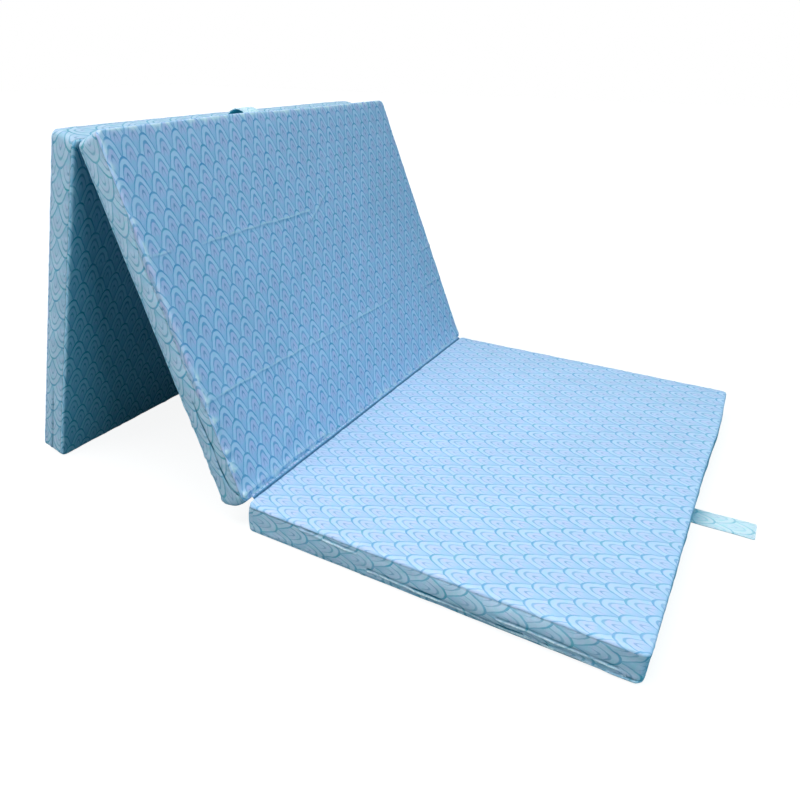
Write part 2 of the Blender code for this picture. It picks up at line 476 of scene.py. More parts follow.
def buildScalePrint():
    # overlapping pointed arches with two smaller arches inside, each row half a column off
    # the last. The map is in metres, and the arches point along its second axis.
    colours = ("Line", "Green Line", "Leg Line", "Pale Arc", "Inner Line", "Heart", "Core", "Ground",
               "Low Ground")
    tree, given, result = startGroup("scalePrint", [
        ("Vector", None),
        ("Half Column", 0.0187),
        ("Row", 0.0293),
        ("Hand Drawn", 0.0006),
        ("Mottle", 0.5),
        ("Inner Reach", 3.0),
    ] + [(label, (0.3, 0.55, 0.85, 1)) for label in colours],
        [("Color", "NodeSocketColor"), ("Ink", "NodeSocketFloat")])
    flat, row, halfColumn = given["Vector"], given["Row"], given["Half Column"]
    line, greenLine, legLine, paleArc, innerInk, heartTone, coreTone, ground, lowGround = (
        given[label] for label in colours)
    wobble = noiseNode(tree, flat, arch["wobbleScale"], 1).outputs["Color"]
    centred = vectorNode(tree, "SUBTRACT", wobble, (0.5, 0.5, 0.5))
    swing = times(tree, given["Hand Drawn"], 4.0)
    drawn = vectorNode(tree, "ADD", flat, vectorNode(tree, "SCALE", centred, scale=swing))
    parts = partsOf(tree, drawn)
    across = mathNode(tree, "DIVIDE", parts["X"], halfColumn)
    along = mathNode(tree, "DIVIDE", parts["Y"], row)
    # two sets of columns, one row apart. The scale whose tip is lower lies in front.
    sideA = mathNode(tree, "PINGPONG", across, 1.0)
    sideB = minus(tree, 1.0, sideA)
    levelA = plus(tree, along, mathNode(tree, "POWER", sideA, arch["power"]))
    levelB = plus(tree, along, mathNode(tree, "POWER", sideB, arch["power"]))
    depthA = mathNode(tree, "WRAP", times(tree, levelA, -1.0), 2.0, 0.0)
    depthB = mathNode(tree, "WRAP", minus(tree, 1.0, levelB), 2.0, 0.0)
    apexA, apexB = plus(tree, levelA, depthA), plus(tree, levelB, depthB)
    frontB = mathNode(tree, "LESS_THAN", apexB, apexA)
    frontA = minus(tree, 1.0, frontB)
    pick = lambda a, b: plus(tree, times(tree, a, frontA), times(tree, b, frontB))
    depth, side, apex = pick(depthA, depthB), pick(sideA, sideB), pick(apexA, apexB)
    # millimetres inside the outline, below the tip and off the column's middle
    milli = times(tree, row, 1000.0)
    inside = times(tree, depth, milli)
    below = times(tree, minus(tree, apex, along), milli)
    off = times(tree, times(tree, side, halfColumn), 1000.0)

    def smallArch(tip, halfWidth):
        fall = mathNode(tree, "POWER", times(tree, off, 1 / halfWidth), arch["power"])
        return minus(tree, minus(tree, below, tip), times(tree, fall, arch["fall"]))

    reach = given["Inner Reach"]
    thin = times(tree, reach, 0.35)

    def band(value, middle):
        apart = mathNode(tree, "ABSOLUTE", minus(tree, value, middle))
        return rangeNode(tree, apart, thin, reach, 1.0, 0.0)

    second = smallArch(arch["secondTip"], arch["secondHalf"])
    third = smallArch(arch["thirdTip"], arch["thirdHalf"])
    leg = rangeNode(tree, side, *arch["legs"])
    width, legMore, rim = arch["line"]
    wide = mathNode(tree, "MULTIPLY_ADD", leg, legMore, width)
    ink = rangeNode(tree, inside, minus(tree, wide, rim), wide, 1.0, 0.0)
    innerLine = band(second, arch["secondLine"])
    sides = rangeNode(tree, off, *arch["thirdSides"], 1.0, 0.0)
    coreLine = times(tree, band(third, arch["thirdLine"]), sides)
    scale, low, high = arch["greenPatches"]
    greener = rangeNode(tree, noiseNode(tree, flat, scale, 1).outputs["Fac"], low, high)
    scale, low, high, least = arch["inkPatches"]
    strength = rangeNode(tree, noiseNode(tree, flat, scale, 2).outputs["Fac"], low, high, least, 1.0)
    colour = mixColour(tree, rangeNode(tree, second, *arch["heartEdge"]), paleArc, heartTone)
    colour = mixColour(tree, rangeNode(tree, below, *arch["groundEdge"]), colour, ground)
    colour = mixColour(tree, rangeNode(tree, below, *arch["lowGroundEdge"]), colour, lowGround)
    colour = mixColour(tree, times(tree, innerLine, strength), colour, innerInk)
    colour = mixColour(tree, times(tree, coreLine, strength), colour, coreTone)
    lineTone = mixColour(tree, times(tree, greener, 0.8), line, greenLine)
    lineTone = mixColour(tree, times(tree, leg, 0.85), lineTone, legLine)
    colour = mixColour(tree, times(tree, ink, strength), colour, lineTone)
    # the dye took unevenly: faint lilac and sea-green clouds
    cloud = noiseNode(tree, flat, arch["clouds"], 2).outputs["Fac"]
    for edge, tint in ((0.72, arch["lilac"]), (0.3, arch["seaGreen"])):
        share = times(tree, rangeNode(tree, cloud, 0.5, edge), given["Mottle"])
        colour = mixColour(tree, share, colour, tint, "MULTIPLY")
    return giveOut(tree, result, Color=colour, Ink=ink)


def buildPlainWeave():
    # over and under threads, from a map in metres
    tree, given, result = startGroup("plainWeave", [
        ("Vector", None),
        ("Thread", 0.0004),
    ], [("Height", "NodeSocketFloat"), ("Shade", "NodeSocketFloat")])
    parts = partsOf(tree, given["Vector"])
    turnA, turnB = (times(tree, mathNode(tree, "DIVIDE", parts[label], given["Thread"]), math.pi)
                    for label in ("X", "Y"))
    wave = times(tree, mathNode(tree, "SINE", turnA), mathNode(tree, "SINE", turnB))
    height = mathNode(tree, "MULTIPLY_ADD", wave, 0.5, 0.5)
    slub = noiseNode(tree, given["Vector"], 900, 2)
    height = mathNode(tree, "MULTIPLY_ADD", slub.outputs["Fac"], 0.5, height)
    shade = rangeNode(tree, height, 0.1, 1.4, 0.93, 1.04, False)
    return giveOut(tree, result, Height=height, Shade=shade)


def buildClothRumple():
    # slack in the cover: broad soft swells, small dimples, and painted shade that darkens the dimples and
    # lightens the swells
    tree, given, result = startGroup("clothRumple", [
        ("Vector", None),
        ("Swell Size", 0.09),
        ("Dimple Size", 0.016),
    ], [("Height", "NodeSocketFloat"), ("Tone", "NodeSocketFloat")])
    swell, dimple = (
        noiseNode(tree, vectorNode(tree, "SCALE", given["Vector"],
                                   scale=mathNode(tree, "DIVIDE", 1.0, given[label])), 1.0, 2)
        for label in ("Swell Size", "Dimple Size"))
    height = mathNode(tree, "MULTIPLY_ADD", dimple.outputs["Fac"], 0.3, swell.outputs["Fac"])
    # painted shade: darker where the cloth lies lower, lighter on the swells
    paintedLight = rangeNode(tree, height, 0.35, 0.95, 0.965, 1.03, False)
    return giveOut(tree, result, Height=height, Tone=paintedLight)


def buildSeamPucker():
    # small gathers that fan out from a seam. The map runs along the seam and away from it.
    tree, given, result = startGroup("seamPucker", [
        ("Vector", None),
        ("Reach", 0.014),
        ("Spacing", 0.007),
    ], [("Height", "NodeSocketFloat"), ("Crease", "NodeSocketFloat")])
    parts = partsOf(tree, given["Vector"])
    away = mathNode(tree, "ABSOLUTE", parts["Y"])
    near = minus(tree, 1.0, mathNode(tree, "DIVIDE", away, given["Reach"]), clamp=True)
    joined = addNode(tree, "CombineXYZ", X=mathNode(tree, "DIVIDE", parts["X"], given["Spacing"]),
                     Y=times(tree, parts["Y"], 40.0))
    gather = noiseNode(tree, joined.outputs[0], 1.0, 1)
    height = times(tree, gather.outputs["Fac"], times(tree, near, near))
    crease = rangeNode(tree, away, 0.0004, 0.0018, 1.0, 0.0)
    return giveOut(tree, result, Height=height, Crease=crease)


def buildStitchRow():
    # a row of short stitches along the first axis of a map in metres
    tree, given, result = startGroup("stitchRow", [
        ("Vector", None),
        ("Pitch", 0.0028),
        ("Offset", 0.0),
        ("Half Width", 0.0005),
    ], [("Thread", "NodeSocketFloat"), ("Height", "NodeSocketFloat")])
    parts, half = partsOf(tree, given["Vector"]), given["Half Width"]
    step = mathNode(tree, "FRACT", mathNode(tree, "DIVIDE", parts["X"], given["Pitch"]))
    mid = mathNode(tree, "ABSOLUTE", minus(tree, step, 0.5))
    long = rangeNode(tree, mid, 0.32, 0.42, 1.0, 0.0)
    off = mathNode(tree, "ABSOLUTE", minus(tree, parts["Y"], given["Offset"]))
    wide = minus(tree, 1.0, mathNode(tree, "DIVIDE", off, half), clamp=True)
    thread = times(tree, long, rangeNode(tree, wide, 0.0, 0.5))
    dent = minus(tree, 1.0, mathNode(tree, "DIVIDE", off, times(tree, half, 3.0)), clamp=True)
    height = minus(tree, times(tree, thread, 0.6), dent)
    return giveOut(tree, result, Thread=thread, Height=height)


def buildFoldMarks():
    # painted highlight along a crease's ridge, broken up by noise, with painted shade beside it, or the
    # painted shadow in a slit.
    # The map holds the distance from the crease, its strength and the place along it.
    tree, given, result = startGroup("foldMarks", [
        ("Vector", None),
        ("Half Width", 0.0016),
    ], [("Pale", "NodeSocketFloat"), ("Dark", "NodeSocketFloat")])
    parts, half = partsOf(tree, given["Vector"]), given["Half Width"]
    raised = mathNode(tree, "MAXIMUM", parts["Y"], 0.0)
    sunk = mathNode(tree, "MAXIMUM", times(tree, parts["Y"], -1.0), 0.0)
    off = mathNode(tree, "ABSOLUTE", parts["X"])
    aside = mathNode(tree, "ABSOLUTE", minus(tree, parts["X"], times(tree, half, 2.0)))
    thin, wide = times(tree, half, 0.3), times(tree, half, 1.3)
    ridge, shade = (rangeNode(tree, far, thin, wide, 1.0, 0.0) for far in (off, aside))
    joined = addNode(tree, "CombineXYZ", X=times(tree, parts["Z"], 230.0), Y=times(tree, parts["X"], 90.0))
    highlightNoise = noiseNode(tree, joined.outputs[0], 1.0, 1).outputs["Fac"]
    brokenHighlight = rangeNode(tree, highlightNoise, 0.38, 0.6, 0.35, 1.0)
    # painted shade beside a raised crease, and the painted shadow in a slit
    dark = mathNode(tree, "MULTIPLY_ADD", shade, times(tree, raised, 0.8), times(tree, ridge, sunk))
    return giveOut(tree, result, Pale=times(tree, times(tree, ridge, brokenHighlight), raised), Dark=dark)


effect = {
    "foldMarks": buildFoldMarks(),
    "scalePrint": buildScalePrint(),
    "plainWeave": buildPlainWeave(),
    "clothRumple": buildClothRumple(),
    "seamPucker": buildSeamPucker(),
    "stitchRow": buildStitchRow(),
}
print("node groups built")


def placeGroup(tree, name, **values):
    node = addNode(tree, "Group", node_tree=effect[name], label=name)
    for label, value in values.items():
        setSocket(tree, node.inputs[label.replace("_", " ")], value)
    return node


def startMaterial(name, look):
    material = bpy.data.materials.new(name)
    material.use_nodes = True
    tree = material.node_tree
    shader = tree.nodes["Principled BSDF"]
    for label, value in (("Roughness", look["roughness"]), ("Sheen Weight", look["sheen"]),
                         ("Sheen Roughness", 0.5), ("Sheen Tint", (0.55, 0.8, 1.0)),
                         ("Specular IOR Level", 0.25)):
        setSocket(tree, shader.inputs[label], value)
    return material, tree, shader


def mapOf(tree, name):
    return addNode(tree, "UVMap", uv_map=name).outputs["UV"]


def printedCloth(name, look):
    material, tree, shader = startMaterial(name, look)
    flat = addNode(tree, "Mapping", Vector=mapOf(tree, "printMap"), Location=(*look["shift"], 0)).outputs[0]
    art = placeGroup(tree, "scalePrint", Vector=flat, Half_Column=look["halfColumn"], Row=look["row"],
                     Hand_Drawn=look["handDrawn"], Mottle=look["mottle"], Inner_Reach=look["innerReach"],
                     Line=look["line"], Green_Line=look["greenLine"], Leg_Line=look["legLine"],
                     Pale_Arc=look["paleArc"], Inner_Line=look["innerLine"], Heart=look["heart"],
                     Core=look["core"], Ground=look["ground"], Low_Ground=look["lowGround"])
    weave = placeGroup(tree, "plainWeave", Vector=flat, Thread=look["thread"])
    solid = addNode(tree, "TexCoord").outputs["Object"]
    rumple = placeGroup(tree, "clothRumple", Vector=solid, Swell_Size=look["swellSize"],
                        Dimple_Size=look["dimpleSize"])
    pucker = placeGroup(tree, "seamPucker", Vector=mapOf(tree, "edgeMap"), Reach=look["puckerReach"],
                        Spacing=look["puckerSpacing"])
    shade = times(tree, weave.outputs["Shade"], rumple.outputs["Tone"])
    seamShade = minus(tree, 1.0, times(tree, pucker.outputs["Crease"], look["creaseDark"]))
    colour = mixColour(tree, 1.0, art.outputs["Color"], greyOf(tree, times(tree, seamShade, shade)),
                       "MULTIPLY")
    # painted highlight and painted shade from the creases, gathers and edge rolls, read from the points
    paintedLight = addNode(tree, "Attribute", attribute_name="foldPaintedLight").outputs["Fac"]
    line = addNode(tree, "Attribute", attribute_name="foldLine").outputs["Vector"]
    folds = placeGroup(tree, "foldMarks", Vector=line, Half_Width=look["foldHalf"])
    for way, label in ((1, "Pale"), (-1, "Dark")):
        share = mathNode(tree, "MAXIMUM", rangeNode(tree, paintedLight, 0.05 * way, 0.85 * way), folds.outputs[label])
        colour = mixColour(tree, times(tree, share, look["fold" + label + "Share"]), colour,
                           look["fold" + label])
    setSocket(tree, shader.inputs["Base Color"], colour)
    setSocket(tree, shader.inputs["Roughness"],
              mathNode(tree, "MULTIPLY_ADD", weave.outputs["Height"], 0.06, look["roughness"] - 0.05))
    normal = bumpNode(tree, weave.outputs["Height"], look["thread"] * 0.35, look["weaveBump"])
    normal = bumpNode(tree, rumple.outputs["Height"], look["rumpleHeight"], under=normal)
    normal = bumpNode(tree, pucker.outputs["Height"], look["puckerHeight"], under=normal)
    setSocket(tree, shader.inputs["Normal"], normal)
    return material


facePrint = {
    "shift": (0.0, 0.0),
    "halfColumn": 0.0187,
    "row": 0.029,
    "handDrawn": 0.0007,
    "mottle": 0.8,
    "innerReach": 3.0,       # half width of the inner lines, in mm
    "line": (0.170, 0.430, 0.720),
    "greenLine": (0.185, 0.480, 0.670),
    "legLine": (0.320, 0.540, 0.790),
    "paleArc": (0.580, 0.725, 0.955),
    "innerLine": (0.290, 0.500, 0.760),
    "heart": (0.595, 0.685, 0.935),
    "core": (0.300, 0.470, 0.740),
    "ground": (0.480, 0.660, 0.920),
    "lowGround": (0.400, 0.600, 0.865),
    "thread": 0.00045,
    "roughness": 0.82,
    "sheen": 0.12,
    "weaveBump": 0.5,
    "swellSize": 0.085,
    "dimpleSize": 0.02,
    "rumpleHeight": 0.0022,
    "puckerReach": 0.016,
    "puckerSpacing": 0.009,
    "puckerHeight": 0.0016,
    "creaseDark": 0.2,
    # lines and patches of painted highlight and painted shade: their half width, strengths and colours
    "foldHalf": 0.0016,
    "foldPaleShare": 0.6,
    "foldDarkShare": 0.55,
    "foldPale": (0.76, 0.88, 1.0),
    "foldDark": (0.10, 0.30, 0.50),
}
# painted light: the backrest's copy of the same cloth, with darker lines, paler arcs and brighter painted
# highlights on its creases, for the light it gets
backrestPrint = dict(
    facePrint, line=(0.128, 0.375, 0.700), greenLine=(0.135, 0.420, 0.640), legLine=(0.225, 0.465, 0.750),
    paleArc=(0.610, 0.745, 0.990), innerLine=(0.205, 0.430, 0.725), heart=(0.610, 0.650, 0.930),
    core=(0.250, 0.390, 0.680), ground=(0.470, 0.645, 0.915), lowGround=(0.400, 0.590, 0.870),
    innerReach=3.8, foldPale=(0.86, 0.94, 1.0), foldPaleShare=0.75, foldDarkShare=0.4)
# painted shade: a tealer copy of the print with less red, for the backs, which face the floor or the shaded
# space between the backrest and the rear leg
backShadedPrint = dict(
    facePrint, line=(0.070, 0.380, 0.560), greenLine=(0.070, 0.390, 0.520), legLine=(0.170, 0.460, 0.680),
    paleArc=(0.530, 0.740, 0.920), innerLine=(0.150, 0.430, 0.620), heart=(0.490, 0.690, 0.890),
    core=(0.150, 0.420, 0.600), ground=(0.370, 0.610, 0.820), lowGround=(0.290, 0.540, 0.760),
    innerReach=3.6)
# painted shade: a greyer, greener copy of the print for the side bands, which face away from the overhead
# light; brighter painted highlights on its lips and darker painted shadow in its slits
bandShadedPrint = dict(
    facePrint, line=(0.115, 0.375, 0.560), greenLine=(0.090, 0.390, 0.490), legLine=(0.220, 0.460, 0.620),
    paleArc=(0.530, 0.670, 0.820), innerLine=(0.250, 0.450, 0.610), heart=(0.520, 0.645, 0.810),
    core=(0.260, 0.430, 0.610), ground=(0.440, 0.615, 0.785), lowGround=(0.350, 0.550, 0.730),
    shift=(0.009, 0.012), mottle=1.0, foldPale=(0.90, 0.97, 1.0), foldPaleShare=0.75,
    foldDark=(0.015, 0.13, 0.20), foldDarkShare=0.85, rumpleHeight=0.003, puckerHeight=0.0022,
    puckerReach=0.02)
# painted shadow: a much darker copy of the print for the seat's fold strip, in the gap under the fold
foldShadowPrint = dict(
    facePrint, line=(0.030, 0.130, 0.270), greenLine=(0.030, 0.140, 0.250), legLine=(0.055, 0.165, 0.300),
    paleArc=(0.115, 0.225, 0.385), innerLine=(0.055, 0.165, 0.300), heart=(0.110, 0.215, 0.375),
    core=(0.055, 0.155, 0.290), ground=(0.095, 0.205, 0.360), lowGround=(0.080, 0.185, 0.340))
cloth = {
    "fold": printedCloth("foldShadowCloth", foldShadowPrint),
    "face": printedCloth("printedFaceCloth", facePrint),
    "strongFace": printedCloth("printedBackrestCloth", backrestPrint),
    "band": printedCloth("bandShadedCloth", bandShadedPrint),
    "back": printedCloth("backShadedCloth", backShadedPrint),
}


def threadedSeam(name, look):
    # rolled seam allowance, overcast with thread
    material, tree, shader = startMaterial(name, look)
    solid = addNode(tree, "TexCoord").outputs["Object"]
    parts = partsOf(tree, solid)
    slope = plus(tree, parts["Y"], times(tree, parts["Z"], 0.8))
    wrap = mathNode(tree, "FRACT", mathNode(tree, "DIVIDE", slope, look["pitch"]))
    thread = rangeNode(tree, mathNode(tree, "ABSOLUTE", minus(tree, wrap, 0.5)), 0.12, 0.3)
    rumple = placeGroup(tree, "clothRumple", Vector=solid, Swell_Size=0.03, Dimple_Size=0.006)
    colour = mixColour(tree, thread, look["cloth"], look["thread"])
    setSocket(tree, shader.inputs["Base Color"],
              mixColour(tree, 1.0, colour, greyOf(tree, rumple.outputs["Tone"]), "MULTIPLY"))
    setSocket(tree, shader.inputs["Normal"],
              bumpNode(tree, plus(tree, thread, rumple.outputs["Height"]), 0.0006, 0.8))
    return material


seamLook = {"roughness": 0.85, "sheen": 0.1, "pitch": 0.0024, "cloth": (0.14, 0.36, 0.60),
            "thread": (0.25, 0.48, 0.74)}
cloth["seam"] = threadedSeam("overcastSeam", seamLook)


def strapCloth(name, look):
    # doubled printed cloth, stitched along its edges
    material = printedCloth(name, look)
    tree = material.node_tree
    shader = tree.nodes["Principled BSDF"]
    row = placeGroup(tree, "stitchRow", Vector=mapOf(tree, "edgeMap"), Pitch=look["stitchPitch"],
                     Offset=look["stitchInset"], Half_Width=look["stitchHalf"])
    colour = shader.inputs["Base Color"].links[0].from_socket
    normal = shader.inputs["Normal"].links[0].from_socket
    setSocket(tree, shader.inputs["Base Color"],
              mixColour(tree, times(tree, row.outputs["Thread"], 0.7), colour, look["stitch"]))
    setSocket(tree, shader.inputs["Normal"], bumpNode(tree, row.outputs["Height"], 0.0005, 0.9, normal))
    return material


strapLook = dict(
    facePrint, line=(0.30, 0.62, 0.76), greenLine=(0.30, 0.62, 0.72), legLine=(0.50, 0.74, 0.84),
    paleArc=(0.78, 0.90, 0.96), innerLine=(0.52, 0.76, 0.86), heart=(0.74, 0.87, 0.95),
    core=(0.56, 0.74, 0.86), ground=(0.72, 0.87, 0.95), lowGround=(0.66, 0.84, 0.93),
    shift=(0.004, 0.02), rumpleHeight=0.0012, puckerHeight=0.0004, creaseDark=0.0,
    stitchPitch=0.003, stitchInset=0.004, stitchHalf=0.0006, stitch=(0.80, 0.92, 0.96))
cloth["strap"] = strapCloth("strapCloth", strapLook)


def undersideShadeCloth(name, look):
    # plain teal cloth, much darker than the strap's print: painted shade on the loop's underside
    material, tree, shader = startMaterial(name, look)
    solid = addNode(tree, "TexCoord").outputs["Object"]
    weave = placeGroup(tree, "plainWeave", Vector=solid, Thread=look["thread"])
    rumple = placeGroup(tree, "clothRumple", Vector=solid, Swell_Size=0.03, Dimple_Size=0.008)
    shade = times(tree, weave.outputs["Shade"], rumple.outputs["Tone"])
    setSocket(tree, shader.inputs["Base Color"], mixColour(tree, shade, look["deep"], look["colour"]))
    setSocket(tree, shader.inputs["Normal"], bumpNode(tree, rumple.outputs["Height"], 0.0006))
    return material


liningLook = {"roughness": 0.9, "sheen": 0.05, "thread": 0.00045, "colour": (0.04, 0.46, 0.56),
              "deep": (0.015, 0.28, 0.36)}
cloth["lining"] = undersideShadeCloth("loopUndersideShade", liningLook)
print("materials built")


def makeBlank():
    length, width, thick = panel["length"], panel["width"], panel["thickness"]
    radius, half = panel["cornerRadius"], thick / 2
    blank = startBlock("cushionBlank", (length, width, thick), (length / 2, 0, half))
    roundEdges(blank, lambda a, b: (a.z - half) * (b.z - half) < 0, radius, 5)
    roundEdges(blank, lambda a, b: (a.z - half) * (b.z - half) > 0, panel["edgeRoll"], 3)
    for axis, low, high in ((0, radius, length - radius), (1, radius - width / 2, width / 2 - radius)):
        count = round((high - low) / panel["faceCell"])
        for step in range(count + 1):
            point, normal = [0, 0, 0], [0, 0, 0]
            point[axis] = low + (high - low) * step / count
            normal[axis] = 1
            cutAcross(point, normal)
    low, high = panel["seamDrop"], panel["seamDrop"] + panel["seamHalf"]
    rows = round((thick - 2 * high) / panel["bandRow"])
    heights = [low, high] + [high + (thick - 2 * high) * step / rows for step in range(1, rows)]
    for height in heights + [thick - high, thick - low]:
        cutAcross((0, 0, height), (0, 0, 1))
    bpy.ops.object.mode_set(mode="OBJECT")
    bpy.ops.object.shade_smooth()
    return blank


def outlineParts(x, y):
    # nearest point of the outline's core, the way out from it and how far
    radius = panel["cornerRadius"]
    coreX = np.clip(x, radius, panel["length"] - radius)
    coreY = np.clip(y, radius - panel["width"] / 2, panel["width"] / 2 - radius)
    outX, outY = x - coreX, y - coreY
    far = np.hypot(outX, outY)
    return coreX, coreY, outX, outY, far


def stripPlace(x, y):
    # distance along the side band, counter-clockwise from one corner of the fold end, and the
    # band's whole length
    length, width, radius = panel["length"], panel["width"], panel["cornerRadius"]
    coreX, coreY, outX, outY, far = outlineParts(x, y)
    inside = far < 1e-7
    toSide = np.stack([y + width / 2, length - x, width / 2 - y, x])
    nearest = np.argmin(toSide, axis=0)
    ways = np.array([-math.pi / 2, 0.0, math.pi / 2, math.pi])
    angle = np.where(inside, ways[nearest], np.arctan2(outY, outX))
    angle = np.where(angle <= -math.pi + 1e-6, math.pi, angle)
    quarter, small = math.pi / 2, 1e-4
    sideL, sideW, arc = length - 2 * radius, width - 2 * radius, quarter * radius
    place = np.select(
        [np.abs(angle + quarter) < small, angle < -quarter, angle < -small, np.abs(angle) <= small,
         angle < quarter - small, np.abs(angle - quarter) <= small, angle < math.pi - small],
        [coreX - radius, 2 * sideL + 2 * sideW + 3 * arc + (angle + math.pi) * radius,
         sideL + (angle + quarter) * radius, sideL + arc + coreY + width / 2 - radius,
         sideL + arc + sideW + angle * radius, sideL + 2 * arc + sideW + (length - radius - coreX),
         2 * sideL + 2 * arc + sideW + (angle - quarter) * radius],
        2 * sideL + 3 * arc + sideW + (width / 2 - radius - coreY))
    return place, 2 * (sideL + sideW) + 4 * arc


def unrolled(x, y, depth):
    # a face's cloth laid flat: its points past the edge roll lie further out
    radius, roll = panel["cornerRadius"], panel["edgeRoll"]
    coreX, coreY, outX, outY, far = outlineParts(x, y)
    inner = radius - roll
    over = np.clip((far - inner) / roll, 0, 1)
    wide = np.where(far > inner, inner + roll * np.arcsin(over), far)
    wide = wide + np.clip(depth - roll, 0, None) * (over > 0.999)
    share = np.where(far > 1e-7, wide / np.maximum(far, 1e-7), 1)
    return coreX + outX * share, coreY + outY * share


def dipSeam(piece, look):
    # the face's cloth is drawn over the near edge, so its seam lies lower there
    dip, low, high = look["seamDip"]
    if not dip:
        return
    points = pointsOf(piece)
    x, y, z = points.T.copy()
    slip = dip * smoothShare(x, low - 0.03, low + 0.03) * (1 - smoothShare(x, high - 0.03, high + 0.03))
    slip *= 1 + 0.18 * ripple(x, x * 0, look["seed"] + 12, 0.03)
    thick, top = panel["thickness"], panel["thickness"] - panel["seamDrop"] - panel["seamHalf"]
    share = np.clip((z - thick / 2) / (top - thick / 2), 0, 1)
    onNear = (look["nearSide"] * y > panel["width"] / 2 - 1e-5) & (z < thick - panel["edgeRoll"] - 1e-5)
    movePoints(piece, x, y, np.where(onNear, z - slip * share, z))


def layMaps(piece, look, rowHeight):
    # the print runs over each face and round the side band, as the cover is cut
    mesh = piece.data
    length, width, thick = panel["length"], panel["width"], panel["thickness"]
    seam = panel["seamDrop"]
    corner = numbersOf(mesh.loops, "vertex_index")
    start, total = (numbersOf(mesh.polygons, name) for name in ("loop_start", "loop_total"))
    order = np.argsort(start, kind="stable")
    owner = np.repeat(order, total[order])
    rowHeight = rowHeight[corner]
    height = np.bincount(owner, rowHeight, len(total)) / total
    region = np.where(height > thick - seam, 0, np.where(height < seam, 2, 1))
    mesh.polygons.foreach_set("material_index", region.astype(np.int32))
    kind = region[owner]
    x, y, z = pointsOf(piece)[corner].T
    place, around = stripPlace(x, y)
    # corners of one face lie on one side of the strip's join
    highest = np.full(len(total), -1.0)
    np.maximum.at(highest, owner, place)
    place = np.where(highest[owner] - place > around / 2, place + around, place)
    depth = np.where(kind == 0, thick - z, z)
    flatX, flatY = unrolled(x, y, depth)
    fromNear = width / 2 - look["nearSide"] * flatY
    u, v = z, place * look["bandWay"] + look["bandShift"]
    for number, key in ((0, "face"), (2, "back")):
        way, slant, apexAcross, apexAlong, wide, long = look[key]
        across = fromNear + slant * flatX - (apexAcross + slant * apexAlong)
        u = np.where(kind == number, across / wide, u)
        v = np.where(kind == number, way * (flatX - apexAlong) / long - panel["lineHalf"], v)
    layMap(piece, "printMap", u, v)
    # distance from the nearer seam
    inward = np.minimum.reduce([x, length - x, width / 2 - np.abs(y)])
    away = np.where(kind == 1, np.minimum(rowHeight, thick - rowHeight) - seam,
                    np.maximum(inward, 0) + np.clip(seam - depth, 0, seam))
    layMap(piece, "edgeMap", place, away)
